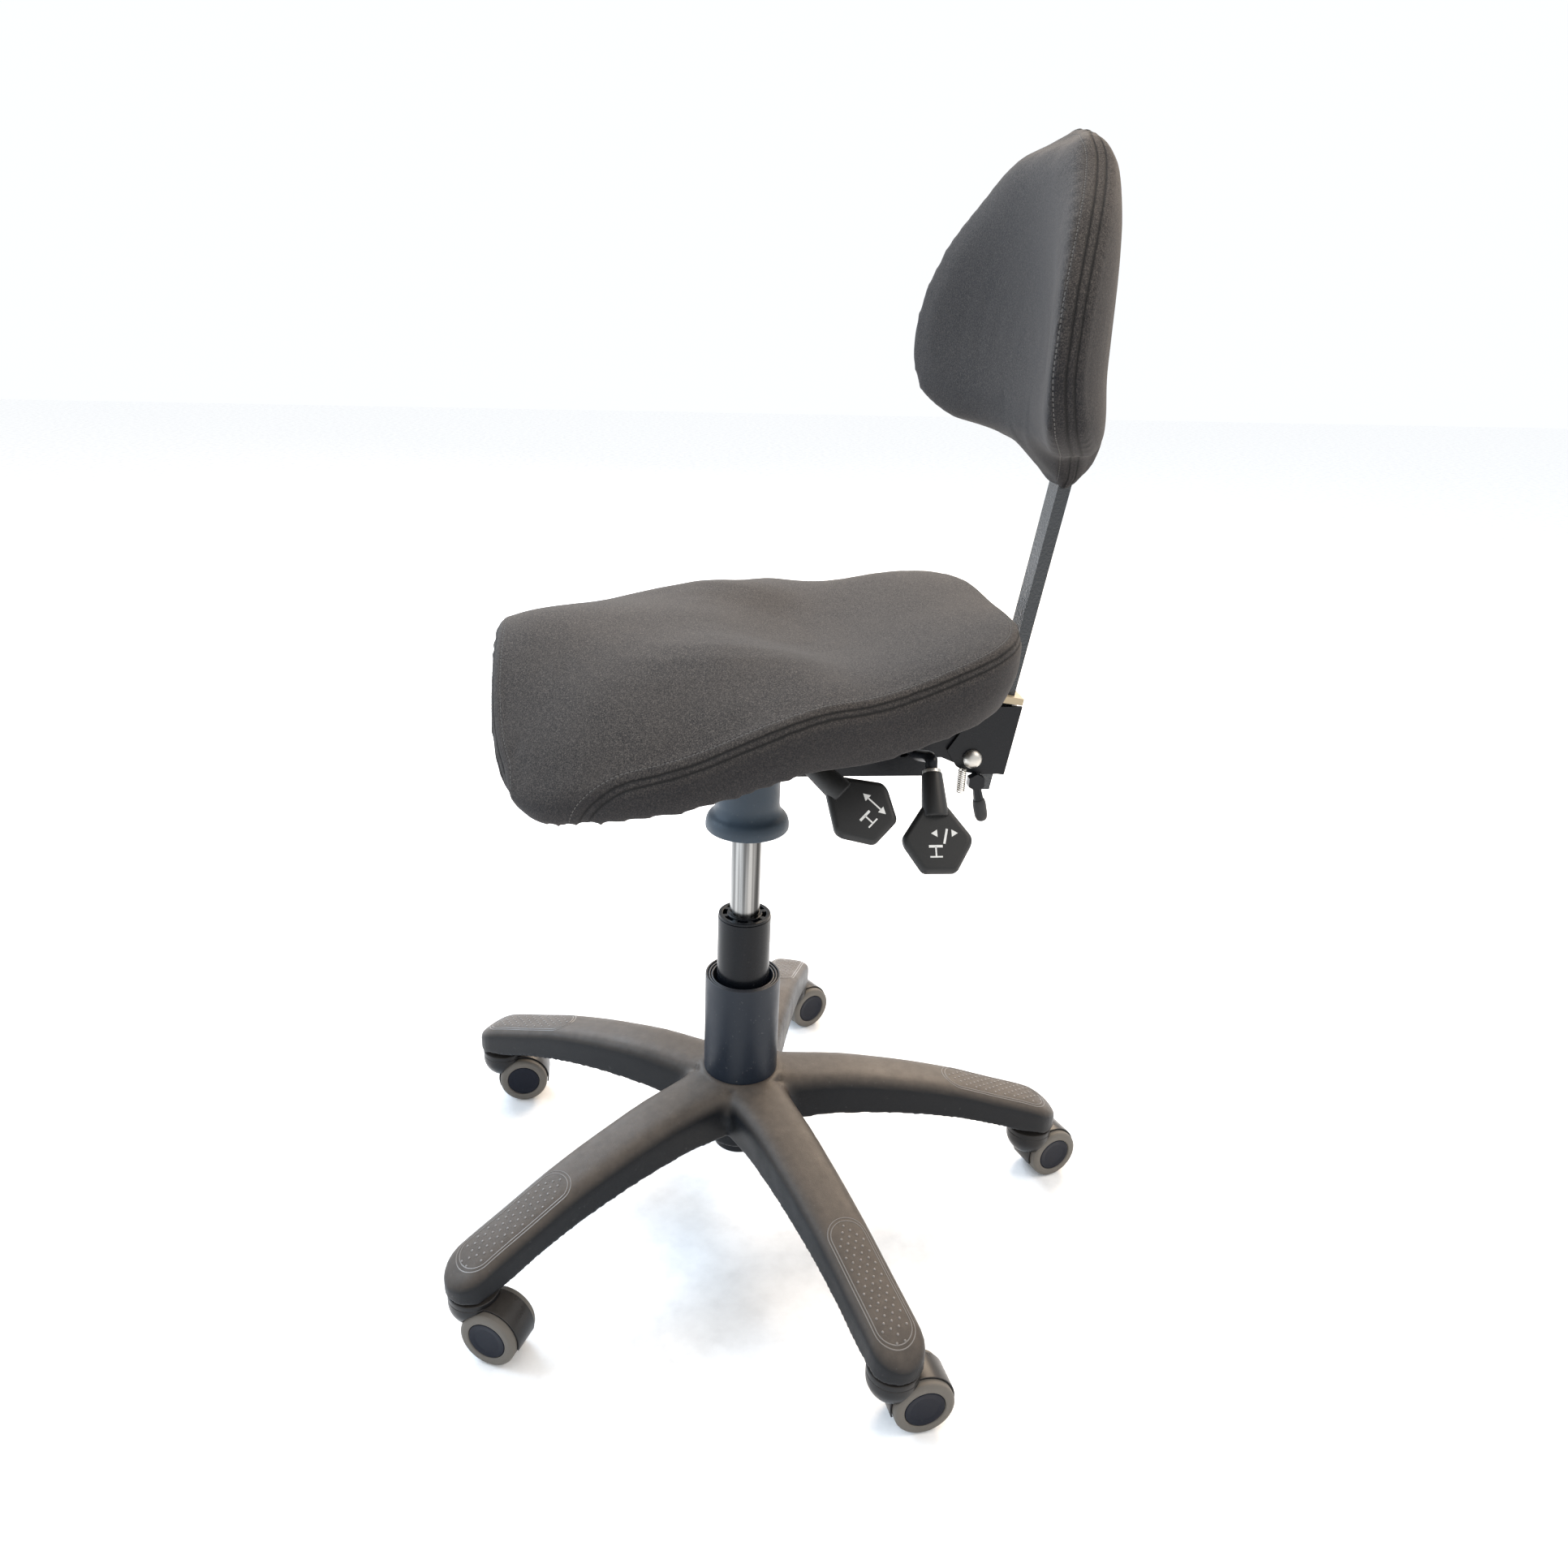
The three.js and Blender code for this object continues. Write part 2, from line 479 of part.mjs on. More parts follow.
function seatOutline(count) {
  const points = [];
  for (let i = 0; i < count; i++) {
    const a = 2 * Math.PI * i / count;
    const n = 2 / (Math.sin(a) < 0 ? SEAT_CORNER_FRONT : SEAT_CORNER_REAR);
    const s = Math.sign(Math.sin(a)) * Math.abs(Math.sin(a)) ** n;
    const c = Math.sign(Math.cos(a)) * Math.abs(Math.cos(a)) ** n;
    points.push([through(SEAT_WIDTHS, s) * c, SEAT_HALF_LENGTH * s]);
  }
  return points;
}

// A ring of the seat at share r of its outline; drop(x, y) lowers it below the top surface.
function seatRing(outline, r, drop = () => 0, inset = 1) {
  return outline.map(([x, y]) => {
    const [px, py] = [x * r * inset, SEAT_MID_Y + y * r * inset];
    return [px, py, seatTop(x * r, SEAT_MID_Y + y * r, r) - drop(x * r, SEAT_MID_Y + y * r, r)];
  });
}

const thickness = (x, y, r) => SEAT_CORE + (through(SIDE_HEIGHT, y) - SEAT_CORE) * r ** 3;

function seatCushion() {
  const outline = seatOutline(40);
  const rings = [0.02, 0.3, 0.55, 0.75, 0.88, 0.96, 1].map((r) => seatRing(outline, r));
  rings.push(seatRing(outline, 1, (x, y, r) => thickness(x, y, r) * 0.5, 1.004));
  rings.push(seatRing(outline, 1, thickness, 0.955));
  for (const r of [0.84, 0.45, 0.02]) rings.push(seatRing(outline, r, thickness));
  return flipped(loft(rings));
}

piece('seat_cushion', seatCushion(), 'fabric');

const PAN_FOOT_Z = HOUSING_TOP_Z + GAP;

function seatPan() {
  const outline = seatOutline(40);
  const gap = (d) => (x, y, r) => thickness(x, y, r) + d;
  const lower = [0.02, 0.45, 0.84].map((r) => seatRing(outline, r, gap(PAN)));
  const upper = [0.84, 0.45, 0.02].map((r) => seatRing(outline, r, gap(0.5)));
  let pan = solid(loft([...lower, ...upper]));
  // Four feet reach down to the housing's rim; each takes a bolt.
  SEAT_BOLTS.forEach(([x, y]) => {
    const under = seatTop(x, y, 0.4) - SEAT_CORE - 6.4;
    pan = pan.add(solid(disc(15, PAN_FOOT_Z, under, 12).translate(x, y, 0)));
    pan = pan.subtract(solid(disc(3.5, PAN_FOOT_Z - 2, PAN_FOOT_Z + 14, 10).translate(x, y, 0)));
  });
  return pan;
}

piece('seat_pan', seatPan(), 'board');

SEAT_BOLTS.forEach(([x, y, where]) => {
  const bolt = turned([[0, HOUSING_TOP_Z - 8], [6, HOUSING_TOP_Z - 8], [6, HOUSING_TOP_Z - 3.3], [3, HOUSING_TOP_Z - 3.3],
    [3, PAN_FOOT_Z + 13], [0, PAN_FOOT_Z + 13]], 10).translate(x, y, 0);
  piece(`seat_bolt_${where}`, bolt, 'steel');
});

// ---------------------------------------------------------------- back bracket
const BRACKET_IN = 17;
const BRACKET_OUT = 20;
// Middle line of the post: y at a height z.
const postY = (z) => POST_REF[0] + (z - POST_REF[1]) * Math.tan(POST_TILT);
const BRACKET_LOW_Z = 464;
const BRACKET_TOP_Z = 527;

// Solid box in the post's own frame: across X, through the post, along the post from low to high.
function alongPost(halfX, front, rear, low, high) {
  const g = block([-halfX, front, (low - POST_REF[1]) / Math.cos(POST_TILT)],
    [halfX, rear, (high - POST_REF[1]) / Math.cos(POST_TILT)]);
  return g.rotateX(-POST_TILT).translate(0, POST_REF[0], POST_REF[1]);
}

function backBracket() {
  const half = POST_T / 2 + 0.6;
  const plate = [[174, 487], [183, 472], [192, 466], [postY(BRACKET_LOW_Z) - 8, BRACKET_LOW_Z],
    [postY(BRACKET_LOW_Z) + 12.5, BRACKET_LOW_Z], [postY(BRACKET_TOP_Z) + 12.5, BRACKET_TOP_Z],
    [postY(BRACKET_TOP_Z) - 8, BRACKET_TOP_Z], [190, 512]];
  const pocket = alongPost(BRACKET_OUT, -half - 3, half + 6, BRACKET_LOW_Z + 1, BRACKET_TOP_Z - 1);
  const way = alongPost(POST_W / 2 + 0.6, -half, half, BRACKET_LOW_Z - 30, BRACKET_TOP_Z + 30);
  return minus(union(plateYZ(plate, BRACKET_IN, BRACKET_OUT), plateYZ(plate, -BRACKET_OUT, -BRACKET_IN), pocket), way,
    rodX(5.3, -30, 30, PIVOT_Y, PIVOT_Z));
}

piece('back_bracket', backBracket(), 'coated');
piece('post_guide', minus(
  solid(alongPost(BRACKET_OUT - 1, -POST_T / 2 - 4, POST_T / 2 + 7, BRACKET_TOP_Z + 2.6, BRACKET_TOP_Z + 8.6)),
  alongPost(POST_W / 2 + 0.3, -POST_T / 2 - 0.3, POST_T / 2 + 0.3, BRACKET_TOP_Z - 20, BRACKET_TOP_Z + 30),
), 'bush');

// Dome-headed pivot bolt along X, with its nut on the far side.
function pivotBolt() {
  const head = [];
  for (const a of [0, 30, 60]) head.push([8.6 * Math.cos(rad(a)), 21.2 + 6.5 * Math.sin(rad(a))]);
  return turned([[0, -28], [5, -28], [5, 20.4], [8.6, 20.4], ...head, [0, 27.7]], 16)
    .rotateY(Math.PI / 2).translate(0, PIVOT_Y, PIVOT_Z);
}

piece('pivot_bolt', pivotBolt(), 'steel');
piece('pivot_nut', geometryOf(minus(solid(turned([[0, -27], [9, -27], [9, -20.4], [0, -20.4]], 6)), disc(5.2, -30, -18, 16)))
  .rotateY(Math.PI / 2).translate(0, PIVOT_Y, PIVOT_Z), 'steel');

// Lock lever hanging from the bracket, its rubber tip and its spring.
const LOCK_X = 25;
const LOCK_Y = 201;
const LOCK_Z = 459;

piece('lock_lever', geometryOf(union(
  rodX(8, LOCK_X - 4.6, LOCK_X + 4, LOCK_Y, LOCK_Z, 6),
  new THREE.CylinderGeometry(3.4, 5.4, 26, 10).rotateX(Math.PI / 2).translate(0, 0, -14).rotateX(rad(14))
    .translate(LOCK_X, LOCK_Y, LOCK_Z),
)), 'coated');
piece('lock_lever_tip', geometryOf(minus(
  solid(turned([[0, -39], [3.5, -38.6], [5.6, -35], [6, -20], [5.2, -17.6], [0, -17.6]], 10)
    .rotateX(rad(14)).translate(LOCK_X, LOCK_Y, LOCK_Z)),
  new THREE.CylinderGeometry(3.7, 5.7, 26, 10).rotateX(Math.PI / 2).translate(0, 0, -14.4).rotateX(rad(14))
    .translate(LOCK_X, LOCK_Y, LOCK_Z),
)), 'rubber');

// ---------------------------------------------------------------- post and backrest

// The post's side outline, grown by g all round: leaning below the bend, upright above it.
function postOutline(g, low, high) {
  const half = POST_T / 2 / Math.cos(POST_TILT) + g;
  return [[postY(low) - half, low], [postY(low) + half, low], [postY(POST_BEND_Z) + half, POST_BEND_Z],
    [postY(POST_BEND_Z) + half, high + g], [postY(POST_BEND_Z) - half, high + g],
    [postY(POST_BEND_Z) - half, POST_BEND_Z]];
}

piece('back_post', plateYZ(postOutline(0, POST_LOW_Z, POST_HIGH_Z), -POST_W / 2, POST_W / 2), 'coated');

// A level slice through the back.
function backRing(z) {
  const w = through(BACK_OUTLINE, z);
  const front = through(BACK_FRONT, z);
  const rear = (x) => through(BACK_REAR, z) + through(BACK_SPINE, z) * Math.exp(-((x / 48) ** 2));
  const across = 10;
  const xs = Array.from({ length: across + 1 }, (_, i) => w * Math.sin(Math.PI / 2 * (2 * i / across - 1)));
  const slice = [...xs.map((x) => [x, front]), ...xs.reverse().map((x) => [x, rear(x)])];
  return slice.map(([x, y]) => {
    const middle = (front + rear(x)) / 2;
    const round = Math.abs(x) / w > 0.999 ? 0.6 : 1;
    return [x, middle + (y - middle) * round - x * x / BACK_CURVE, z];
  });
}

// The back's inner shell: a curved plate with a pad that meets the post.
function backShell(g) {
  const slice = (z, w) => {
    const xs = [-1, -0.75, -0.5, -0.25, 0, 0.25, 0.5, 0.75, 1].map((k) => k * (w + g));
    return [...xs.map((x) => [x, 238 - g - x * x / BACK_CURVE, z]),
      ...xs.reverse().map((x) => [x, 244 + g - x * x / BACK_CURVE, z])];
  };
  const plate = loft([slice(775 - g, 118), slice(790, 135), slice(845, 135), slice(890 + g, 95)]);
  const rear = postY(POST_BEND_Z) - POST_T / 2 / Math.cos(POST_TILT) - GAP + g * 3;
  return union(plate, block([-16 - g, 240, 782 - g], [16 + g, rear, 850 + g]));
}

piece('back_shell', backShell(0), 'board');

function backCushion() {
  const rings = [714, 722, 733, 745, 756, 768, 790, 815, 845, 875, 905, 935, 955, 967, 974].map((z) => backRing(z));
  return minus(solid(loft(rings)), backShell(GAP),
    plateYZ(postOutline(GAP, POST_LOW_Z, POST_HIGH_Z), -POST_W / 2 - GAP, POST_W / 2 + GAP));
}

piece('back_cushion', backCushion(), 'fabric');

export default stool;
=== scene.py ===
# Saddle stool: the finished look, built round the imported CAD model. Lengths in millimetres inside the
# helpers, metres in the scene; +Z up, the seat's front faces -Y, origin on the floor under the lift.
import bpy
import bmesh
import json
import math
import numpy as np
from mathutils import Matrix, Vector
from mathutils.bvhtree import BVHTree
from mathutils.kdtree import KDTree


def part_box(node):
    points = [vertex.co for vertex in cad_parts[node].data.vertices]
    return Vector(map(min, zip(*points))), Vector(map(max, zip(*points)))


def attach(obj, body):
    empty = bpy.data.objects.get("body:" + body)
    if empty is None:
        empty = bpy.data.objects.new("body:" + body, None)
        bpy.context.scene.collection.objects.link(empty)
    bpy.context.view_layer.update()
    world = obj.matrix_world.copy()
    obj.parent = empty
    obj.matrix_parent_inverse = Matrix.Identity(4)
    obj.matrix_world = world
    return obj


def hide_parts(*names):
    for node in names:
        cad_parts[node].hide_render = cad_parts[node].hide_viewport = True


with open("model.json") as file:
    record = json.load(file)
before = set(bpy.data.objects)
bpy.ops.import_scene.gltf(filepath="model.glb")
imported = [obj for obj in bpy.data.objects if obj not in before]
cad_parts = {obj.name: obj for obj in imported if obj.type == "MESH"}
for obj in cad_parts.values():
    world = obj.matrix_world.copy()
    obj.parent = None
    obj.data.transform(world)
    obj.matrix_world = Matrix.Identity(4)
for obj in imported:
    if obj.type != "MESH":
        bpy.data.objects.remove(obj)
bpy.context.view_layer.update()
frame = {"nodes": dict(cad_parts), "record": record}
scene = bpy.context.scene
JOINTS = {j["name"]: j for j in frame["record"]["behaviour"]["joints"]}


def box_mm(node):
    lo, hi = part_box(node)
    return [c * 1000 for c in lo], [c * 1000 for c in hi]


# ------------------------------------------------------------------ small maths
def through(knots, t):
    """Smooth curve through [t, value] knots, flat where the values turn."""
    k = np.array(knots, float)
    t = np.atleast_1d(np.asarray(t, float))
    i = np.clip(np.searchsorted(k[:, 0], t) - 1, 0, len(k) - 2)
    slope = np.diff(k[:, 1]) / np.diff(k[:, 0])
    tan = np.empty(len(k))
    tan[0], tan[-1] = slope[0], slope[-1]
    for j in range(1, len(k) - 1):
        a, b = slope[j - 1], slope[j]
        tan[j] = 0 if a * b <= 0 else 2 * a * b / (a + b)
    h = k[i + 1, 0] - k[i, 0]
    u = (t - k[i, 0]) / h
    return ((2 * u**3 - 3 * u**2 + 1) * k[i, 1] + (u**3 - 2 * u**2 + u) * tan[i] * h
            + (3 * u**2 - 2 * u**3) * k[i + 1, 1] + (u**3 - u**2) * tan[i + 1] * h)


def rounded(profile, radius, steps=4):
    """The closed profile with each corner replaced by an arc of about that radius."""
    n, out = len(profile), []
    radii = radius if hasattr(radius, "__len__") else [radius] * n
    for i in range(n):
        p = np.array(profile[i], float)
        a = np.array(profile[i - 1], float) - p
        b = np.array(profile[(i + 1) % n], float) - p
        la, lb = np.linalg.norm(a), np.linalg.norm(b)
        r = min(radii[i], la * 0.45, lb * 0.45)
        if r < 0.02:
            out.append(tuple(p))
            continue
        s, e = p + a / la * r, p + b / lb * r
        for k in range(steps + 1):
            t = k / steps
            out.append(tuple((1 - t) ** 2 * s + 2 * t * (1 - t) * p + t * t * e))
    return out


# ------------------------------------------------------------------ mesh helpers
def build(name, verts, faces, mat, body=None, slot=None, nodes=(), matrix=None, angle=35):
    """A mesh from millimetre vertices, smooth shaded with sharp edges kept sharp."""
    me = bpy.data.meshes.new(name)
    metres = [(x * 0.001, y * 0.001, z * 0.001) for x, y, z in verts]
    me.from_pydata(metres, [], [list(map(int, f)) for f in faces])
    bm = bmesh.new()
    bm.from_mesh(me)
    bmesh.ops.remove_doubles(bm, verts=bm.verts, dist=2e-6)
    bmesh.ops.recalc_face_normals(bm, faces=bm.faces)
    bm.to_mesh(me)
    bm.free()
    ob = bpy.data.objects.new(name, me)
    scene.collection.objects.link(ob)
    if matrix is not None:
        ob.matrix_world = matrix
    finish_piece(ob, mat, body, nodes, angle)
    return ob


def finish_piece(ob, mat, body, nodes=(), angle=35):
    ob.data.materials.clear()
    ob.data.materials.append(mat)
    ob.data.polygons.foreach_set("use_smooth", [True] * len(ob.data.polygons))
    ob.data.set_sharp_from_angle(angle=math.radians(angle))
    if body:
        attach(ob, body)
    if nodes:
        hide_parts(*nodes)


def lathe(profile, segments=72, start=0.0, sweep=360.0):
    """Vertices and faces of the closed (radius, z) profile turned about Z."""
    whole = sweep >= 360
    count = segments if whole else segments + 1
    n = len(profile)
    verts, faces = [], []
    for i in range(count):
        a = math.radians(start + sweep * i / segments)
        verts += [(r * math.cos(a), r * math.sin(a), z) for r, z in profile]
    for i in range(segments):
        for j in range(n):
            a, b = i * n + j, i * n + (j + 1) % n
            c, d = ((i + 1) % count) * n + j, ((i + 1) % count) * n + (j + 1) % n
            faces.append((a, c, d, b))
    if not whole:
        faces += [tuple(range(n)), tuple(range((count - 1) * n, count * n))[::-1]]
    return verts, faces


def loft(rings, cap=True, closed=True):
    n = len(rings[0])
    verts = [tuple(p) for r in rings for p in r]
    faces = []
    for i in range(len(rings) - 1):
        for j in range(n if closed else n - 1):
            a, b = i * n + j, i * n + (j + 1) % n
            faces.append((a, b, b + n, a + n))
    if cap:
        faces += [tuple(range(n))[::-1], tuple(range((len(rings) - 1) * n, len(rings) * n))]
    return verts, faces


def join(*parts):
    verts, faces = [], []
    for v, f in parts:
        base = len(verts)
        verts += list(v)
        faces += [tuple(i + base for i in g) for g in f]
    return verts, faces


def moved(part, m):
    return [tuple(m @ Vector(v)) for v in part[0]], part[1]


def tube(points, radius, sides=16, closed=False):
    """Round bar through the points, with parallel-carried sections."""
    pts = [Vector(p) for p in points]
    n = len(pts)
    rings = []
    side = None
    for i, p in enumerate(pts):
        t = (pts[(i + 1) % n] - pts[i - 1]) if closed else (pts[min(i + 1, n - 1)] - pts[max(i - 1, 0)])
        t.normalize()
        if side is None:
            side = t.orthogonal().normalized()
        side = (side - t * side.dot(t)).normalized()
        up = t.cross(side)
        r = radius[i] if hasattr(radius, "__len__") else radius
        turns = [2 * math.pi * k / sides for k in range(sides)]
        rings.append([tuple(p + side * r * math.cos(t) + up * r * math.sin(t)) for t in turns])
    if closed:
        v, f = loft(rings, cap=False)
        m = (n - 1) * sides
        f += [(m + j, m + (j + 1) % sides, (j + 1) % sides, j) for j in range(sides)]
        return v, f
    return loft(rings)


def smooth_path(points, per=10):
    """Catmull-Rom points through the given ones."""
    p = [Vector(points[0])] + [Vector(q) for q in points] + [Vector(points[-1])]
    out = []
    for i in range(1, len(p) - 2):
        for k in range(per):
            t = k / per
            a, b, c, d = p[i - 1], p[i], p[i + 1], p[i + 2]
            out.append(tuple(0.5 * ((2 * b) + (c - a) * t + (2 * a - 5 * b + 4 * c - d) * t * t
                                    + (3 * b - 3 * c + d - a) * t**3)))
    out.append(tuple(p[-2]))
    return out


def applied(ob):
    """Replaces the object's mesh with what its modifiers make of it."""
    dg = bpy.context.evaluated_depsgraph_get()
    me = bpy.data.meshes.new_from_object(ob.evaluated_get(dg))
    ob.modifiers.clear()
    ob.data = me
    return ob


def coords(me):
    co = np.empty(len(me.vertices) * 3)
    me.vertices.foreach_get("co", co)
    return co.reshape(-1, 3)


def set_coords(me, co):
    me.vertices.foreach_set("co", np.ascontiguousarray(co).ravel())
    me.update()


def normals(me):
    n = np.empty(len(me.vertices) * 3)
    me.vertices.foreach_get("normal", n)
    return n.reshape(-1, 3)


# ------------------------------------------------------------------ materials
class Nodes:
    """A material and short ways to add nodes to it."""

    def __init__(self, name):
        self.mat = bpy.data.materials.new(name)
        self.mat.use_nodes = True
        self.tree = self.mat.node_tree
        self.bsdf = self.tree.nodes["Principled BSDF"]
        self.coord = self.add("ShaderNodeTexCoord").outputs["Object"]

    def add(self, kind, **inputs):
        n = self.tree.nodes.new(kind)
        for k, v in inputs.items():
            self.plug(n.inputs[k.replace("_", " ")], v)
        return n

    def plug(self, socket, value):
        if isinstance(value, bpy.types.NodeSocket):
            self.tree.links.new(value, socket)
        else:
            socket.default_value = value

    def noise(self, scale, detail=2.0, rough=0.5):
        n = self.add("ShaderNodeTexNoise", Vector=self.coord, Scale=scale, Detail=detail, Roughness=rough)
        return n.outputs["Fac"]

    def math(self, op, a, b=0.0, clamp=False):
        n = self.tree.nodes.new("ShaderNodeMath")
        n.operation = op
        n.use_clamp = clamp
        self.plug(n.inputs[0], a)
        self.plug(n.inputs[1], b)
        return n.outputs[0]

    def ramp(self, value, low, high, out_low=0.0, out_high=1.0):
        n = self.tree.nodes.new("ShaderNodeMapRange")
        for i, v in enumerate((value, low, high, out_low, out_high)):
            self.plug(n.inputs[i], v)
        return n.outputs[0]

    def mix(self, fac, a, b):
        n = self.tree.nodes.new("ShaderNodeMix")
        n.data_type = "RGBA"
        self.plug(n.inputs["Factor"], fac)
        for socket, v in ((n.inputs[6], a), (n.inputs[7], b)):
            self.plug(socket, (*v, 1) if isinstance(v, tuple) and len(v) == 3 else v)
        return n.outputs[2]

    def bump(self, height, distance, strength=1.0, normal=None):
        n = self.add("ShaderNodeBump", Height=height, Distance=distance, Strength=strength)
        if normal is not None:
            self.plug(n.inputs["Normal"], normal)
        return n.outputs["Normal"]

    def up(self):
        """How far the surface faces upwards, -1 to 1."""
        g = self.add("ShaderNodeNewGeometry")
        s = self.add("ShaderNodeSeparateXYZ", Vector=g.outputs["Normal"])
        return s.outputs["Z"]

    def set(self, **values):
        for k, v in values.items():
            self.plug(self.bsdf.inputs[k.replace("_", " ")], v)
        return self.mat


def plastic(name, colour, rough, grain=0.0, grain_scale=1400.0, dust_and_sheen=0.0, dust_and_sheen_colour=(0.17, 0.15, 0.13),
            scuffs=0.0, spec=0.5, metal=0.0):
    """Moulded or coated surface: fine grain, patchy gloss, a paler tone on what faces up that is partly dust
    and partly painted top sheen, and pale scuffs.
    """
    m = Nodes(name)
    patch = m.noise(38.0, 4.0, 0.6)
    base = m.mix(patch, tuple(c * 0.82 for c in colour), tuple(c * 1.18 for c in colour))
    # Upward faces are mixed toward a paler brown-grey: partly dust, partly a painted warm top sheen standing
    # in for reflected light.
    if dust_and_sheen:
        facing_up = m.ramp(m.up(), 0.15, 0.95)
        cloud = m.ramp(m.noise(95.0, 5.0, 0.65), 0.35, 0.72, 0.75, 1.0)
        base = m.mix(m.math("MULTIPLY", m.math("MULTIPLY", facing_up, cloud), dust_and_sheen), base, dust_and_sheen_colour)
    if scuffs:
        streak = m.ramp(m.noise(210.0, 6.0, 0.75), 0.63, 0.72)
        base = m.mix(m.math("MULTIPLY", streak, scuffs), base, (0.30, 0.29, 0.28))
    gloss = m.ramp(patch, 0.3, 0.7, rough * 0.85, min(rough * 1.2, 1.0))
    m.set(Base_Color=base, Roughness=gloss, Metallic=metal, Specular_IOR_Level=spec)
    if grain:
        m.set(Normal=m.bump(m.noise(grain_scale, 3.0, 0.6), 0.0006, grain))
    return m.mat


def metal(name, colour, rough, brush=0.0, painted_reflections=False):
    m = Nodes(name)
    patch = m.noise(60.0, 3.0)
    # These dark and light bands along the rod's length are painted reflections in the base colour, standing
    # in for the chrome's mirrored surroundings.
    if painted_reflections:
        around = m.add("ShaderNodeVectorMath", Vector=m.add("ShaderNodeTexCoord").outputs["Object"])
        around.operation = "MULTIPLY"
        around.inputs[1].default_value = (1.0, 1.0, 0.02)
        grain = m.add("ShaderNodeTexNoise", Vector=around.outputs[0], Scale=150.0, Detail=2.0)
        patch = m.ramp(grain.outputs[0], 0.38, 0.62)
        dark, light = tuple(c * 0.25 for c in colour), tuple(c * 2.6 for c in colour)
        m.set(Base_Color=m.mix(patch, dark, light), Metallic=1.0, Roughness=rough)
        return m.mat
    m.set(Base_Color=m.mix(patch, tuple(c * 0.92 for c in colour), colour), Metallic=1.0,
          Roughness=m.ramp(patch, 0.3, 0.7, rough * 0.8, rough * 1.25))
    if brush:
        m.set(Normal=m.bump(m.noise(900.0, 2.0), 0.0004, brush))
    return m.mat


def knit(name):
    """Brushed knit: a soft nap with pale fibres, painted shade on faces turned away from up, and sewn seams
    read from the mesh's seam attribute, with painted shade in their creases.
    """
    m = Nodes(name)
    fibre = m.noise(980.0, 3.0, 0.75)
    blotch = m.noise(26.0, 3.0, 0.55)
    nap = m.noise(360.0, 4.0, 0.75)
    base = m.mix(m.ramp(fibre, 0.42, 0.68), (0.022, 0.020, 0.0195), (0.150, 0.131, 0.117))
    base = m.mix(m.ramp(nap, 0.35, 0.7), m.mix(0.5, base, (0.014, 0.014, 0.015)), base)
    base = m.mix(m.ramp(blotch, 0.3, 0.7, 0.0, 0.25), base, (0.075, 0.065, 0.058))
    seam = m.add("ShaderNodeSeparateXYZ", Vector=m.add_attribute("seam"))
    d, s = seam.outputs["X"], seam.outputs["Y"]

    def line(at, width):
        off = m.math("ABSOLUTE", m.math("SUBTRACT", d, at))
        return m.ramp(off, width, 0.0, 0.0, 1.0)

    fold = m.math("MAXIMUM", line(-3.2, 1.5), line(3.2, 1.5))
    rows = line(10.5, 0.8)
    phase = m.math("SUBTRACT", m.math("FRACT", m.math("DIVIDE", s, 3.4)), 0.5)
    beat = m.ramp(m.math("ABSOLUTE", phase), 0.30, 0.36)
    thread = m.math("MULTIPLY", line(10.5, 0.5), m.math("SUBTRACT", 1.0, beat))
    # Painted shade: faces that turn away from up are darkened towards a cool near-black.
    base = m.mix(m.ramp(m.up(), -0.1, 0.8, 0.62, 0.0), base, (0.009, 0.010, 0.013))
    # Painted shade: the seam's fold creases and the stitch row groove are darkened in the colour.
    base = m.mix(m.math("MAXIMUM", fold, m.math("MULTIPLY", rows, 0.6)), base, (0.010, 0.010, 0.010))
    base = m.mix(m.math("MULTIPLY", thread, 0.7), base, (0.17, 0.16, 0.15))
    height = m.math("ADD", m.math("MULTIPLY", fibre, 0.10), m.math("MULTIPLY", nap, 0.16))
    height = m.math("SUBTRACT", height, m.math("MULTIPLY", fold, 1.0))
    height = m.math("SUBTRACT", height, m.math("MULTIPLY", rows, 0.55))
    height = m.math("ADD", height, m.math("MULTIPLY", thread, 0.35))
    return m.set(Base_Color=base, Roughness=0.95, Specular_IOR_Level=0.18, Sheen_Weight=0.08,
                 Sheen_Roughness=0.45, Sheen_Tint=(0.80, 0.74, 0.69, 1), Normal=m.bump(height, 0.0011, 0.9))


def add_attribute(self, name):
    n = self.tree.nodes.new("ShaderNodeAttribute")
    n.attribute_name = name
    return n.outputs["Vector"]


Nodes.add_attribute = add_attribute

KNIT = knit("knit")
# The base's paler brown-grey on upward faces is partly dust and partly a painted warm sheen in place of top
# reflections.
NYLON = plastic("base nylon", (0.008, 0.009, 0.011), 0.40, grain=0.35, grain_scale=1700, spec=0.16, dust_and_sheen=0.5,
                dust_and_sheen_colour=(0.20, 0.165, 0.135), scuffs=0.18)
HOOD = plastic("castor nylon", (0.007, 0.007, 0.008), 0.30, spec=0.25, grain=0.10, dust_and_sheen=0.25, scuffs=0.12)
TYRE = plastic("castor tread", (0.118, 0.108, 0.094), 0.62, spec=0.3, grain=0.2, dust_and_sheen=0.2, scuffs=0.15)
CAP = plastic("wheel cap", (0.004, 0.006, 0.013), 0.42, spec=0.16, grain=0.08, scuffs=0.08)
SLEEVE = plastic("sleeve plastic", (0.009, 0.014, 0.023), 0.42, spec=0.3, grain=0.12, dust_and_sheen=0.2, scuffs=0.45)
FLARE = plastic("flared cap plastic", (0.028, 0.044, 0.062), 0.50, spec=0.4, grain=0.2, scuffs=0.3)
COLUMN = plastic("column coat", (0.004, 0.005, 0.007), 0.26, spec=0.2, scuffs=0.10)
PADDLE = plastic("paddle plastic", (0.012, 0.012, 0.012), 0.42, spec=0.4, grain=0.15)
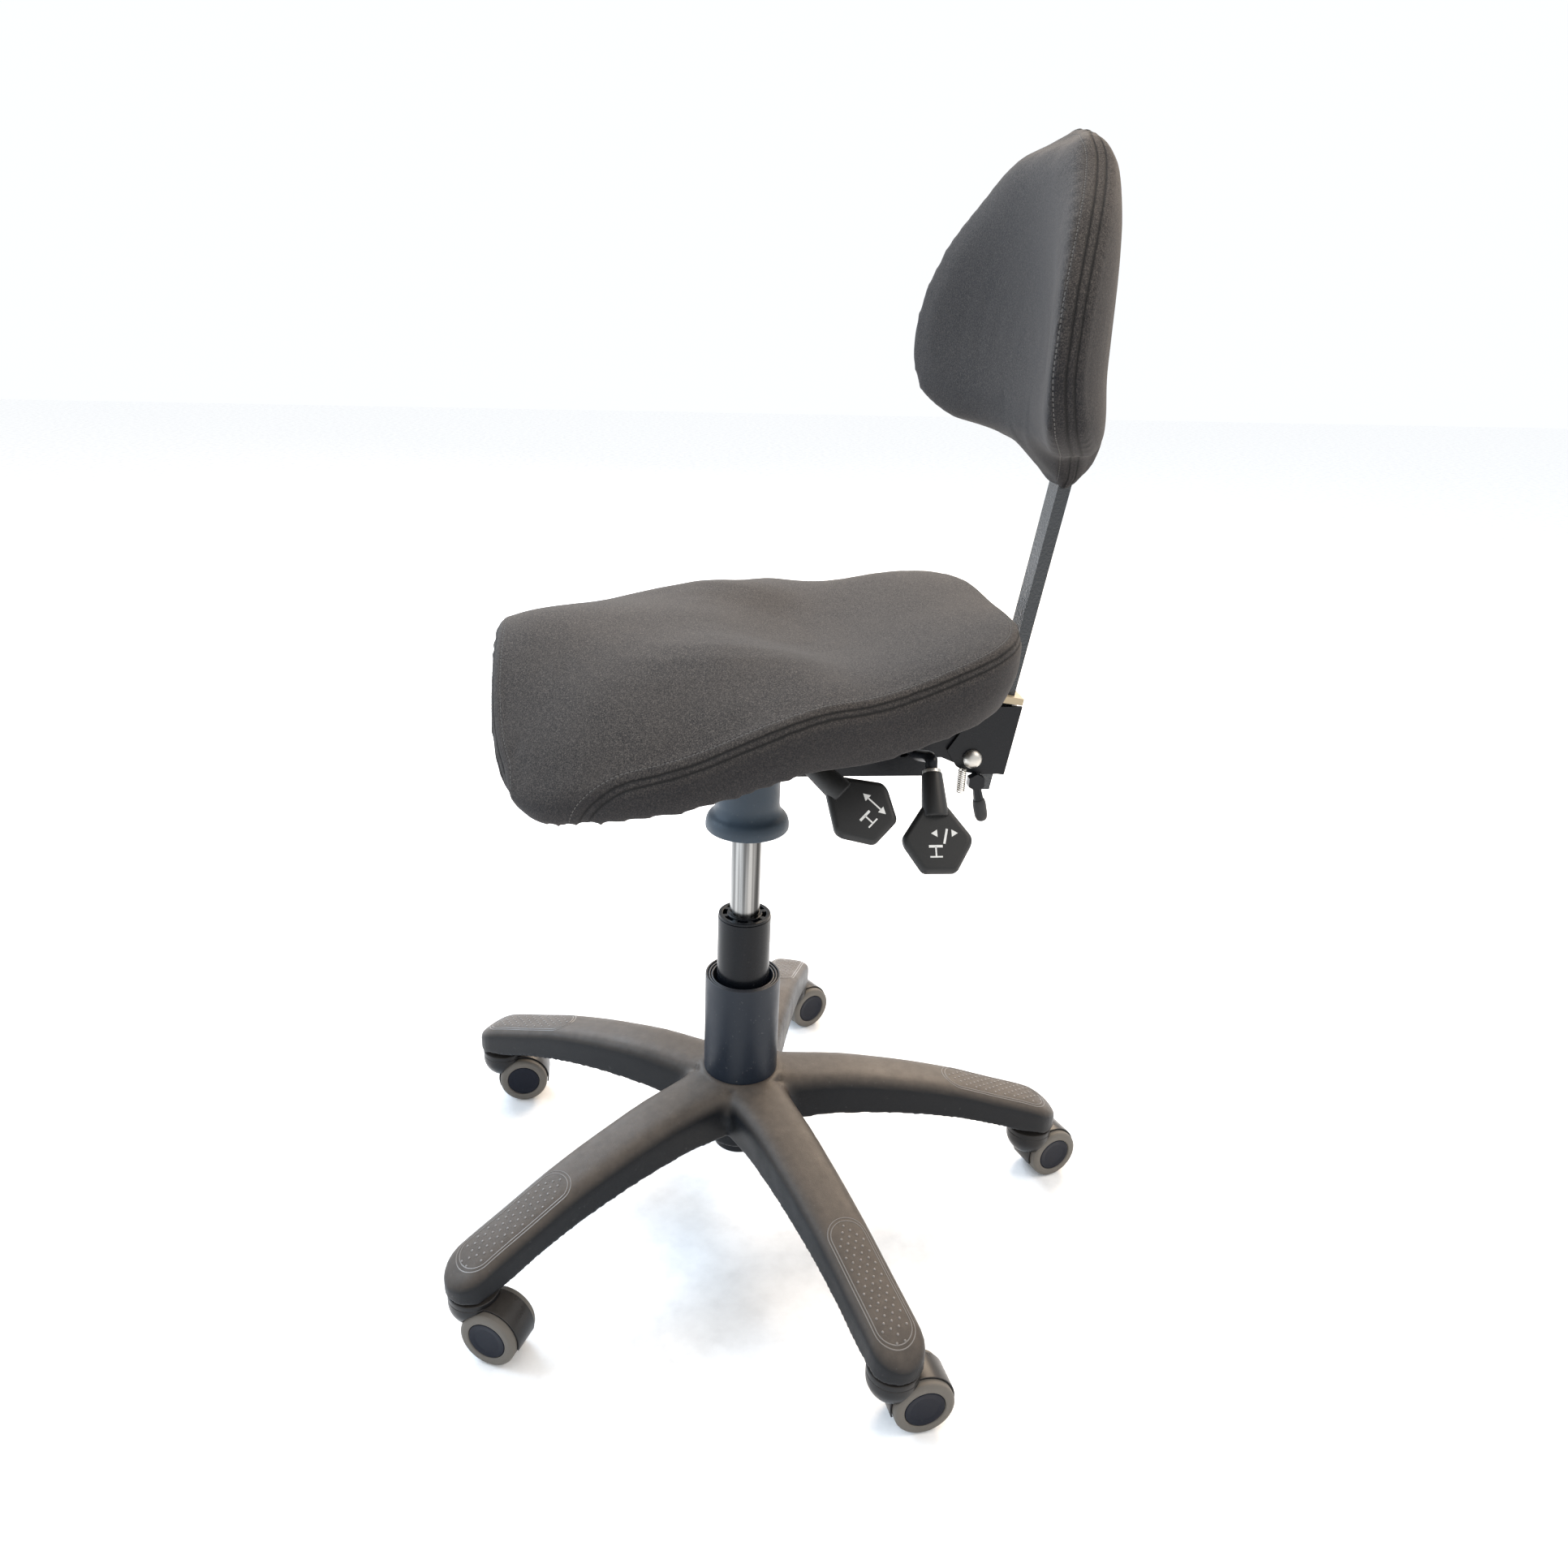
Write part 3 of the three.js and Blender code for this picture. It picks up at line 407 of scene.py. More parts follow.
COAT = plastic("bracket coat", (0.005, 0.006, 0.008), 0.30, grain=0.25, grain_scale=500, spec=0.25)
HAMMER = plastic("hammered coat", (0.010, 0.014, 0.018), 0.24, grain=1.0, grain_scale=420, spec=0.7,
                 scuffs=0.1)
BUSH = plastic("bush nylon", (0.42, 0.34, 0.22), 0.45)
RUBBER = plastic("soft rubber", (0.010, 0.010, 0.011), 0.55, grain=0.1)
BOARD = plastic("seat board", (0.035, 0.028, 0.022), 0.75, grain=0.4, grain_scale=300)
WHITE = plastic("printed white", (0.72, 0.72, 0.70), 0.5)
# The rod's dark and light lengthwise bands are painted reflections.
ROD = metal("ground rod", (0.13, 0.13, 0.128), 0.22, painted_reflections=True)
STEEL = metal("zinc steel", (0.56, 0.54, 0.50), 0.34, brush=0.2)

# ------------------------------------------------------------------ cushions
SEAT_MID_Y, SEAT_LEN = -2.0, 213.0
SEAT_WIDTHS = [[-1, 198], [0, 222], [0.55, 188], [1, 180]]
SPINE = [[-230, 614], [-140, 608], [-50, 606], [50, 585], [150, 612], [230, 634]]
DROOP = [[-230, 160], [-140, 62], [-50, 27], [50, -14], [150, -9], [230, -9]]
THIGH = [[-150, 0], [-94, 7], [-66, 9.5], [-30, 11], [10, 10], [60, 3], [110, 0], [230, 0]]
SIDE = [[-230, 20], [-100, 36], [0, 47], [230, 62]]


def seat_top(x, y, r):
    edge = 13 + 5 * np.clip((60 - y) / 200, 0, 1)
    thigh = through(THIGH, y) * np.exp(-(((np.abs(x) - 120) / 50) ** 2))
    return through(SPINE, y) - through(DROOP, y) * (np.abs(x) / 190) ** 1.8 + thigh - edge * r**7


def seat_outline(a):
    """Plan outline at angle a, before it is moved to the seat's middle."""
    n = np.where(np.sin(a) < 0, 4.0, 3.5)
    s = np.sign(np.sin(a)) * np.abs(np.sin(a)) ** (2 / n)
    c = np.sign(np.cos(a)) * np.abs(np.cos(a)) ** (2 / n)
    return through(SEAT_WIDTHS, s) * c, SEAT_LEN * s


def even(points_at, count):
    """Angles whose outline points are evenly spaced along the outline."""
    a = np.linspace(0, 2 * np.pi, 4001)
    x, y = points_at(a)
    length = np.concatenate([[0], np.cumsum(np.hypot(np.diff(x), np.diff(y)))])
    return np.interp(np.linspace(0, length[-1], count, endpoint=False), length, a)


def seat_ring(a, r, drop=None, inset=1.0):
    ox, oy = seat_outline(a)
    x, y = ox * r, SEAT_MID_Y + oy * r
    z = seat_top(x, y, r)
    if drop is not None:
        z = z - drop(x, y, r)
    return np.stack([x * inset, SEAT_MID_Y + (y - SEAT_MID_Y) * inset, z], 1)


def seat_thick(y, r):
    return 48 + (through(SIDE, y) - 48) * r**3


def seat_side(a, f):
    """Point on the seat's side wall at share f of the way down."""
    bulge = 1 + 0.010 * math.sin(math.pi * min(f * 1.1, 1)) - 0.045 * f**2.2
    return seat_ring(a, 1.0, lambda x, y, r: seat_thick(y, r) * f, bulge)


def seat_mesh():
    a = even(seat_outline, 200)
    top = (0.01, 0.12, 0.25, 0.38, 0.5, 0.6, 0.7, 0.78, 0.85, 0.90, 0.94, 0.965, 0.985, 1)
    rings = [seat_ring(a, r) for r in top]
    rings += [seat_side(a, f) for f in (0.12, 0.25, 0.4, 0.55, 0.7, 0.82, 0.92, 1.0)]
    under = (0.92, 0.84, 0.6, 0.3, 0.01)
    rings += [seat_ring(a, r, lambda x, y, q: seat_thick(y, q) + 1.5, 1) for r in under]
    return loft(rings)


BACK_OUTLINE = [[714, 19], [740, 44], [750, 90], [756, 150], [780, 196], [815, 208], [850, 201], [900, 167],
                [945, 104], [967, 65], [974, 34]]
BACK_FRONT = [[714, 245], [738, 226], [760, 211], [820, 213], [945, 205], [962, 209], [974, 226]]
BACK_REAR = [[714, 246], [725, 256], [753, 262], [815, 255], [945, 254], [974, 243]]
BACK_SPINE = [[714, 18], [776, 20], [850, 19], [900, 10], [974, 0]]
BACK_MID_Z = 832.0


def back_outline_points():
    """The back's outline, seen from the front, as a dense closed loop of (x, z) about its middle."""
    z = np.concatenate([np.linspace(714, 760, 120), np.linspace(760, 950, 300), np.linspace(950, 974, 120)])
    w = through(BACK_OUTLINE, z)
    right = np.stack([w, z], 1)
    loop = np.concatenate([right, right[::-1] * [-1, 1]])
    angle = np.unwrap(np.arctan2(loop[:, 1] - BACK_MID_Z, loop[:, 0]))
    reach = np.hypot(loop[:, 0], loop[:, 1] - BACK_MID_Z)
    order = np.argsort(angle)
    return angle[order], reach[order]


BACK_ANGLE, BACK_REACH = back_outline_points()


def back_outline(a):
    lo = BACK_ANGLE[0]
    w = (a - lo) % (2 * np.pi) + lo
    reach = np.interp(w, BACK_ANGLE, BACK_REACH)
    ease = np.zeros_like(reach)
    for d in (-0.05, -0.025, 0, 0.025, 0.05):
        ease += np.interp((a + d - lo) % (2 * np.pi) + lo, BACK_ANGLE, BACK_REACH) / 5
    soft = np.clip((np.sin(a) - 0.2) / 0.5, 0, 1) * 0.9 + 0.1
    reach = reach * (1 - soft) + ease * soft
    return reach * np.cos(a), reach * np.sin(a)


def back_faces(x, z):
    zc = np.clip(z, 714, 974)
    front = through(BACK_FRONT, zc) - x * x / 740
    rear = through(BACK_REAR, zc) + through(BACK_SPINE, zc) * np.exp(-((x / 48) ** 2)) - x * x / 740
    return front, rear


def back_ring(a, r, depth):
    """Ring at share r of the outline and depth 0 (front face) to 1 (rear face)."""
    ox, oz = back_outline(a)
    x, z = ox * r, BACK_MID_Z + oz * r
    front, rear = back_faces(ox * min(r, 1), BACK_MID_Z + oz * min(r, 1))
    thick = rear - front
    round_ = np.minimum(11.0, thick * 0.38) * r**9
    if depth == 0:
        y = front + round_
    elif depth == 1:
        y = rear - round_
    else:
        y = front + round_ + (thick - 2 * round_) * depth
    return np.stack([x, y, z], 1)


def back_mesh():
    a = even(back_outline, 220)
    inner = (0.01, 0.15, 0.3, 0.45, 0.6, 0.72, 0.82, 0.89, 0.94, 0.975, 1.0)
    rings = [back_ring(a, r, 0) for r in inner]
    rings += [back_ring(a, 1 + 0.008 * math.sin(math.pi * d), d) for d in (0.2, 0.4, 0.6, 0.8)]
    rings += [back_ring(a, r, 1) for r in inner[::-1]]
    return loft(rings)


def plump(ob, voxel, cap, held):
    """Remeshes the pad evenly and lets a cloth simulation move it outward by at most the cap."""
    m = ob.modifiers.new("even", "REMESH")
    m.mode, m.voxel_size = "VOXEL", voxel
    applied(ob)
    start = coords(ob.data)
    group = ob.vertex_groups.new(name="held")
    group.add([int(i) for i in np.nonzero(held(start * 1000))[0]], 1.0, "REPLACE")
    c = ob.modifiers.new("fill", "CLOTH")
    c.settings.use_pressure = True
    c.settings.uniform_pressure_force = 4.0
    c.settings.effector_weights.gravity = 0
    c.settings.vertex_group_mass = "held"
    c.settings.quality = 4
    c.point_cache.frame_start, c.point_cache.frame_end = 1, 20
    for f in range(1, 21):
        scene.frame_set(f)
    dg = bpy.context.evaluated_depsgraph_get()
    filled = coords(ob.evaluated_get(dg).to_mesh())
    ob.evaluated_get(dg).to_mesh_clear()
    ob.modifiers.clear()
    ob.vertex_groups.clear()
    scene.frame_set(1)
    move = filled - start
    far = np.linalg.norm(move, axis=1, keepdims=True)
    set_coords(ob.data, start + move * np.minimum(1, cap / np.maximum(far, 1e-9)))
    s = ob.modifiers.new("ease", "SMOOTH")
    s.factor, s.iterations = 0.5, 4
    u = ob.modifiers.new("fine", "SUBSURF")
    u.levels = u.render_levels = 1
    return applied(ob)


def sew(ob, lines, width=4.2, depth=1.0, reach=16.0):
    """Presses seam grooves into the pad, and stores how far each vertex is from a seam and along it."""
    points, along, across = [], [], []
    for line in lines:
        p = np.array(line)
        step = np.gradient(p, axis=0)
        t = step / np.linalg.norm(step, axis=1, keepdims=True)
        s = np.concatenate([[0], np.cumsum(np.linalg.norm(np.diff(p, axis=0), axis=1))])
        points.append(p)
        along.append(s)
        across.append(t)
    p, s, t = np.concatenate(points), np.concatenate(along), np.concatenate(across)
    tree = KDTree(len(p))
    for i, q in enumerate(p):
        tree.insert(q, i)
    tree.balance()
    me = ob.data
    co, no = coords(me) * 1000, normals(me)
    seam = np.tile([99.0, 0.0, 0.0], (len(co), 1))
    for i, q in enumerate(co):
        _, k, far = tree.find(q)
        if far > reach:
            continue
        off = q - p[k]
        side = np.cross(no[i], t[k])
        ahead = float(off @ t[k])
        d = float(off @ side)
        seam[i] = (math.copysign(math.sqrt(max(far * far - ahead * ahead, 0)), d), s[k] + ahead, 0)
    groove = (np.exp(-((seam[:, 0] / width) ** 2)) * depth
              + np.exp(-(((seam[:, 0] + 4.2) / 1.3) ** 2)) * depth * 0.3
              + np.exp(-(((seam[:, 0] - 5.6) / 1.3) ** 2)) * depth * 0.3)
    puff = np.exp(-((np.abs(seam[:, 0]) - 9) / 4) ** 2) * 0.5
    puff[np.abs(seam[:, 0]) > 90] = 0
    set_coords(me, (co - no * (groove - puff)[:, None]) / 1000)
    layer = me.attributes.new("seam", "FLOAT_VECTOR", "POINT")
    layer.data.foreach_set("vector", seam.ravel())


def dense(points, step=0.6):
    p = np.array(points)
    s = np.concatenate([[0], np.cumsum(np.linalg.norm(np.diff(p, axis=0), axis=1))])
    n = max(int(s[-1] / step), 2)
    t = np.linspace(0, s[-1], n)
    return np.stack([np.interp(t, s, p[:, k]) for k in range(3)], 1)


def side_line(a0, a1, share, end=1.0, turn=0.06):
    """Seam along the seat's side from angle a0 to a1, diving to the lower edge at both ends."""
    pts = []
    for k in range(241):
        u = k / 240
        a = a0 + (a1 - a0) * u
        near = min(u, 1 - u) / turn
        dive = max(0.0, 1 - near) ** 1.7 if near < 1 else 0.0
        pts.append(seat_side(np.array([a]), share + (end - share) * dive)[0])
    return dense(pts)


def angle_at(y, x_sign):
    """The outline angle where the seat's side is at that y."""
    a = np.linspace(-np.pi / 2, np.pi / 2, 4000)
    _, oy = seat_outline(a)
    k = np.argmin(np.abs(SEAT_MID_Y + oy - y))
    return a[k] if x_sign > 0 else np.pi - a[k]


seat = build("seat_cushion_cover", *seat_mesh(), KNIT)
plump(seat, 0.0045, 0.0008, lambda c: c[:, 2] < seat_top(c[:, 0], c[:, 1], 0.5) - 40)
a_side = angle_at(-146, 1)
corner = angle_at(-197, 1)
seat_lines = [side_line(a_side, np.pi - a_side, 0.06),
              side_line(np.pi - corner - 0.02, 2 * np.pi + corner + 0.02, 0.10, turn=0.10)]
sew(seat, seat_lines)
finish_piece(seat, KNIT, "seat", ("seat_cushion",), 60)

back = build("back_cushion_cover", *back_mesh(), KNIT)
plump(back, 0.0042, 0.0008, lambda c: (c[:, 2] < 722) | (np.abs(c[:, 0]) > 400))
a = even(back_outline, 900)
back_line = back_ring(a, 1.0, 0.66)
sew(back, [dense(np.concatenate([back_line, back_line[:1]]))], width=1.4, depth=0.9)
finish_piece(back, KNIT, "back", ("back_cushion",), 60)

# ------------------------------------------------------------------ star base
ARM_TOP = [[20, 149.5], [90, 147], [150, 138.5], [213, 125], [260, 110], [300, 97], [331, 82]]
ARM_LOW = [[20, 101], [90, 104], [140, 101], [200, 92.5], [256, 79], [290, 68], [331, 62]]
ARM_RIB = [[20, 91], [196, 91], [239, 83], [282, 74.5], [331, 68]]
ARM_HALF = [[20, 34], [70, 29], [150, 26], [250, 24], [331, 24]]
STEMS = [Vector(JOINTS[f"castor_swivel_{i}"]["pos_m"]) * 1000 for i in range(1, 6)]
STEM_R = math.hypot(STEMS[0].x, STEMS[0].y)
ARM_ANGLE = [math.atan2(s.y, s.x) for s in STEMS]


def crown(w, low, top, n=14):
    """Upper outline of an arm's section from its left foot to its right foot."""
    shoulder = low + (top - low) * 0.60
    pts = [(-w, low), (-w, low + (shoulder - low) * 0.5)]
    for k in range(n + 1):
        t = math.pi * k / n
        c, s = math.cos(t), math.sin(t)
        pts.append((-w * math.copysign(abs(c) ** 0.62, c), shoulder + (top - shoulder) * abs(s) ** 0.72))
    return pts + [(w, low + (shoulder - low) * 0.5), (w, low)]


def arm():
    shell = []
    for r in np.linspace(38, 288, 26):
        w, low, top, rib = (float(through(k, r)[0]) for k in (ARM_HALF, ARM_LOW, ARM_TOP, ARM_RIB))
        outer = crown(w, low, top)
        inner = crown(w - 3.6, low, top - 5)[::-1]
        half = len(inner) // 2
        right, left = inner[:half], inner[half + 1:]
        peak = max(top - 5.5, rib + 6)
        section = outer + right + [(2.2, peak), (2.2, rib), (-2.2, rib), (-2.2, peak)] + left
        shell.append([(r, y, z) for y, z in section])
    tip = []
    for r in np.linspace(272, STEM_R, 5):
        w, low, top = (float(through(k, r)[0]) for k in (ARM_HALF, ARM_LOW, ARM_TOP))
        tip.append([(r, y, z) for y, z in crown(w, low, top)])
    w0 = float(through(ARM_HALF, STEM_R)[0])
    for t in (15, 30, 45, 58, 70, 80, 87):
        r = STEM_R + 24 * math.sin(math.radians(t))
        k = math.cos(math.radians(t))
        low, top = 62.5, float(through(ARM_TOP, r)[0]) - 9 * (1 - k)
        tip.append([(r, y, z) for y, z in crown(w0 * k, low, top)])
    return join(loft(shell), loft(tip))


def star_base():
    hub = lathe(rounded([(25.6, 74), (34, 74), (36, 98), (43, 112), (47, 128), (44, 143), (39.5, 149.4),
                         (25.6, 149.4)],
                        [0.8, 2, 6, 6, 6, 4, 1.5, 0.8]), 96)
    parts = [hub]
    one = arm()
    for turn in ARM_ANGLE:
        parts.append(moved(one, Matrix.Rotation(turn, 4, "Z")))
    # Low webs between neighbouring arms round off the hub.
    web = lathe(rounded([(30, 112), (52, 114), (60, 124), (54, 136), (38, 147), (30, 147)], 4), 96)
    parts.append(web)
    ob = build("base_moulding", *join(*parts), NYLON)
    m = ob.modifiers.new("merge", "REMESH")
    m.mode, m.voxel_size = "VOXEL", 0.0017
    applied(ob)
    co = coords(ob.data) * 1000
    near = np.hypot(co[:, 0], co[:, 1])
    g = ob.vertex_groups.new(name="hub")
    for lo, hi, wt in ((44, 62, 1.0), (62, 80, 0.8), (80, 100, 0.5), (100, 120, 0.2)):
        g.add([int(i) for i in np.nonzero((near > lo) & (near <= hi) & (co[:, 2] > 108))[0]], wt, "REPLACE")
    for name, factor, times, group in (("all", 0.5, 3, ""), ("hub", 0.6, 60, "hub")):
        s = ob.modifiers.new(name, "SMOOTH")
        s.factor, s.iterations, s.vertex_group = factor, times, group
    applied(ob)
    return ob


base = star_base()
finish_piece(base, NYLON, "base", ("star_base",), 50)
BASE_TREE = BVHTree.FromPolygons([v.co[:] for v in base.data.vertices],
                                 [p.vertices[:] for p in base.data.polygons])


def on_arm(turn, r, y, lift=0.0):
    """Point in millimetres on top of an arm, at r along it and y across it, and the normal there."""
    x = r * math.cos(turn) - y * math.sin(turn)
    q = r * math.sin(turn) + y * math.cos(turn)
    hit, normal, _, _ = BASE_TREE.ray_cast(Vector((x, q, 300)) / 1000, Vector((0, 0, -1)))
    return hit * 1000 + normal * lift, normal


def pad_details():
    parts = []
    for turn in ARM_ANGLE:
        for w, lift in ((15.4, -0.15), (17.6, -0.15)):
            loop = []
            r0, r1 = 216 - (w - 15.4), 310 + (w - 15.4)
            for k in range(24):
                t = math.pi * (k / 23 - 0.5)
                loop.append((r1 - w * 0.55 + w * 0.9 * math.cos(t), w * math.sin(t)))
            for k in range(24):
                t = math.pi * (k / 23 + 0.5)
                loop.append((r0 + w * 0.55 + w * 0.9 * math.cos(t), w * math.sin(t)))
            path = dense([(p[0], p[1], 0) for p in loop + loop[:1]], 2.5)[:-1]
            pts = [on_arm(turn, p[0], p[1], lift)[0] for p in path]
            parts.append(tube(pts, 0.55, 6, closed=True))
        for i, r in enumerate(np.arange(215, 315, 5.2)):
            offs = (-11.1, -3.7, 3.7, 11.1) if i % 2 else (-7.4, 0.0, 7.4)
            for y in offs:
                if (r < 223 or r > 306) and abs(y) > 7:
                    continue
                p, n = on_arm(turn, float(r), y)
                rot = n.to_track_quat("Z", "Y").to_matrix().to_4x4()
                dome = lathe([(0, -0.3), (1.25, -0.3), (1.1, 0.25), (0.65, 0.5), (0, 0.58)], 8)
                parts.append(moved(dome, Matrix.Translation(p) @ rot))
    return join(*parts)


PAD = plastic("pad nylon", (0.150, 0.138, 0.130), 0.34, dust_and_sheen=0.3)
build("footrest_marks", *pad_details(), PAD, "base", "nylon")

# ------------------------------------------------------------------ castors
def castor_hood_mesh():
    """Hood and collar in the castor's own frame: stem on Z, wheels trailing along +X."""
    section = rounded([(4, -2.6), (26.4, -2.6), (26.4, -13.4), (27.9, -13.4), (27.9, 13.4), (26.4, 13.4),
                       (26.4, 2.6), (4, 2.6)], [0, 0.5, 0.3, 0.7, 0.7, 0.3, 0.5, 0])
    v, f = lathe(section, 72, -12, 211)
    drum = moved((v, f), Matrix.Translation((22.4, 0, 26)) @ Matrix.Rotation(math.pi / 2, 4, "X"))
    collar = lathe(rounded([(0, 31), (13, 31), (19, 37), (22.3, 45), (22.3, 53.2), (21.8, 53.8), (22.3, 54.4),
                            (22.3, 59), (0, 59)], [0, 3, 4, 4, 0.2, 0.3, 0.2, 0.9, 0]), 72)
    ob = build("hood_blank", *collar, HOOD)
    for side in (1, -1):
        tread = Matrix.Translation((22.4, 0, 26)) @ Matrix.Rotation(-side * math.pi / 2, 4, "X")
        cut = build("cut", *moved(lathe([(0, 2.7), (26.45, 2.7), (26.45, 30), (0, 30)], 72), tread), HOOD)
        m = ob.modifiers.new("c", "BOOLEAN")
        m.object, m.operation, m.solver = cut, "DIFFERENCE", "EXACT"
        applied(ob)
        bpy.data.objects.remove(cut)
    me = ob.data
    verts = [tuple(v.co * 1000) for v in me.vertices]
    faces = [tuple(p.vertices) for p in me.polygons]
    bpy.data.objects.remove(ob)
    return join((verts, faces), drum)


def wheel_parts():
    """Tyre and cap of the wheel on the +Y side, axle on Z, outer face up."""
    tyre = lathe(rounded([(17.6, 3.4), (26, 3.4), (26, 18.6), (23.2, 20.3), (18.4, 20.2), (17.6, 19.3)],
                         [0.3, 0.8, 1.6, 1.6, 0.5, 0.2]), 72)
    cap = lathe(rounded([(3.4, 3.8), (17.3, 3.8), (17.3, 19.2), (16.6, 19.7), (13.5, 19.25), (11.6, 18.9),
                         (0, 18.5), (0, 18.3), (3.4, 18.3)], [0, 0.3, 0.5, 0.5, 1.0, 1.0, 0, 0, 0]), 64)
    return tyre, cap


HOOD_MESH = castor_hood_mesh()
TYRE_MESH, CAP_MESH = wheel_parts()
AXLE = lathe(rounded([(0, -18), (3, -18), (3, 18), (0, 18)], 0.3), 24)
STEM = lathe(rounded([(0, 48), (5.5, 48), (5.5, 60.5), (4.4, 61.2), (4.4, 74), (5.5, 74.8), (5, 79.4),
                      (0, 79.4)], 0.3), 32)
for i in range(1, 6):
    stem = Vector(JOINTS[f"castor_swivel_{i}"]["pos_m"])
    hub = Vector(JOINTS[f"wheel_left_spin_{i}"]["pos_m"])
    heading = math.atan2(hub.y - stem.y, hub.x - stem.x)
    place = Matrix.Translation((stem.x, stem.y, 0)) @ Matrix.Rotation(heading, 4, "Z")
    body = f"castor_{i}"
    build(f"hood_{i}", *HOOD_MESH, HOOD, body, "gloss_nylon", (f"castor_hood_{i}",), place, 30)
    build(f"stem_{i}", *STEM, STEEL, body, "steel", (f"castor_stem_{i}",), place)
    at = Matrix.Translation((0.0224, 0, 0.026))
    across = Matrix.Rotation(math.pi / 2, 4, "X")
    build(f"axle_{i}", *AXLE, STEEL, body, "steel", (f"castor_axle_{i}",), place @ at @ across)
    for side, turn in (("left", -1), ("right", 1)):
        m = place @ at @ Matrix.Rotation(turn * math.pi / 2, 4, "X")
        build(f"tyre_{side}_{i}", *TYRE_MESH, TYRE, f"wheel_{side}_{i}", "tyre", (f"wheel_{side}_{i}",), m)
        build(f"cap_{side}_{i}", *CAP_MESH, CAP, f"wheel_{side}_{i}", "gloss_nylon", (), m)

# ------------------------------------------------------------------ lift
top = box_mm("column_outer_tube")[1][2]
low = box_mm("column_outer_tube")[0][2]
build("column_tube", *lathe(rounded([(6.5, low), (23.5, low), (25, low + 2), (25, top), (22.5, top),
                                     (22.5, low + 5), (6.5, low + 5)],
                                    [0.2, 1, 0.6, 0.5, 0.3, 0.5, 0.2]), 96),
      COLUMN, "base", "coated_steel", ("column_outer_tube",))


def bush_mesh():
    """Guide bush: collar, inner ring and the webs between its windows."""
    parts = [lathe(rounded([(14.1, top - 80), (22.2, top - 80), (22.2, top - 7), (14.1, top - 7)], 0.4), 72),
             lathe(rounded([(20.6, top - 7.5), (22.2, top - 7.5), (22.2, top + 0.3), (24.6, top + 0.3),
                            (24.3, top + 2.6), (20.6, top + 2.6)], 0.35), 96),
             lathe(rounded([(14.1, top - 7.5), (16.4, top - 7.5), (16.4, top + 2.8),
                            (14.1, top + 2.8)], 0.35), 72)]
    for k in range(8):
        c = math.radians(45 * k + 12)
        rib = lathe(rounded([(16.0, top - 7.2), (21.0, top - 7.2), (21.0, top + 2.3),
                             (16.0, top + 2.3)], 0.2), 4,
                    math.degrees(c) - 7, 14)
        parts.append(rib)
    return join(*parts)


build("column_bush", *bush_mesh(), COLUMN, "base", "gloss_nylon", ("guide_bush",))
for name, body in (("outer", "base"), ("middle", "sleeve_middle"), ("inner", "sleeve_inner")):
    lo, hi = box_mm(f"cover_sleeve_{name}")
    r = hi[0]
    build(f"sleeve_{name}", *lathe(rounded([(r - 1.9, lo[2]), (r, lo[2]), (r, hi[2]), (r - 1.9, hi[2])],
                                            [0.3, 0.3, 0.8, 0.6]), 96), SLEEVE, body, "sleeve_plastic",
          (f"cover_sleeve_{name}",))
lo, hi = box_mm("gas_cylinder")
build("gas_rod", *lathe(rounded([(11, lo[2]), (14, lo[2]), (14, hi[2]), (3.3, hi[2]), (3.3, hi[2] - 10),
                                 (11, hi[2] - 12)], 0.5), 96), ROD, "lift", "chrome", ("gas_cylinder",))
lo, hi = box_mm("flared_cap")
z = lo[2]
build("seat_flare", *lathe(rounded([(27.4, z), (36.5, z), (38.15, z + 1.6), (38.15, z + 7), (36.2, z + 12.5),
                                    (31.2, z + 17), (29, z + 23), (29, hi[2]), (26.4, hi[2]),
                                    (26.4, z + 20), (27.4, z + 16)],
                                   [0.4, 1.5, 1.2, 2.5, 4, 4, 6, 0.4, 0.4, 0.5, 0.5]), 96),
      FLARE, "seat", "cap_plastic", ("flared_cap",))

# ------------------------------------------------------------------ levers
def paddle_frame(at, turn):
    down = Vector((0.616, 0, -0.788))
    across = Vector((0, 1, 0))
    d = down * math.cos(math.radians(turn)) + across * math.sin(math.radians(turn))
    s = across * math.cos(math.radians(turn)) - down * math.sin(math.radians(turn))
    out = -(s.cross(d))
    return Matrix((s, -d, out)).transposed().to_4x4(), Vector(at)


def paddle_mesh():
    """Shield-shaped paddle with a chamfered rim; X across, Y up to the neck, Z out of its face."""
    outline = rounded([(-9, 27), (-28.2, 0), (-27.4, -6.5), (-14.5, -27.5), (-11.5, -29.2), (11.5, -29.2),
                       (14.5, -27.5), (27.4, -6.5), (28.2, 0), (9, 27)], [3, 4, 3, 3, 2, 2, 3, 3, 4, 3], 5)
    rings = []
    for z, k in ((-4.5, -3.0), (-3.2, -0.7), (-2.2, 0.0), (1.2, 0.0), (2.4, -0.5), (4.0, -2.6), (4.5, -3.6),
                 (4.55, -5.2)):
        ring = []
        for x, y in outline:
            reach = math.hypot(x, y)
            f = (reach + k) / reach
            ring.append((x * f, y * f, z))
        rings.append(ring)
    neck = lathe(rounded([(0, 16), (10.8, 16), (10.2, 28), (9.0, 44), (8.2, 53), (0, 53)],
                         [0, 2, 3, 3, 1, 0]), 40)
    neck = moved(neck, Matrix.Rotation(-math.pi / 2, 4, "X"))
    return join(loft(rings), neck)


def glyph_bar(x0, y0, x1, y1, w):
    dx, dy = x1 - x0, y1 - y0
    n = math.hypot(dx, dy)
    px, py = -dy / n * w / 2, dx / n * w / 2
    return [(x0 + px, y0 + py), (x0 - px, y0 - py), (x1 - px, y1 - py), (x1 + px, y1 + py)]


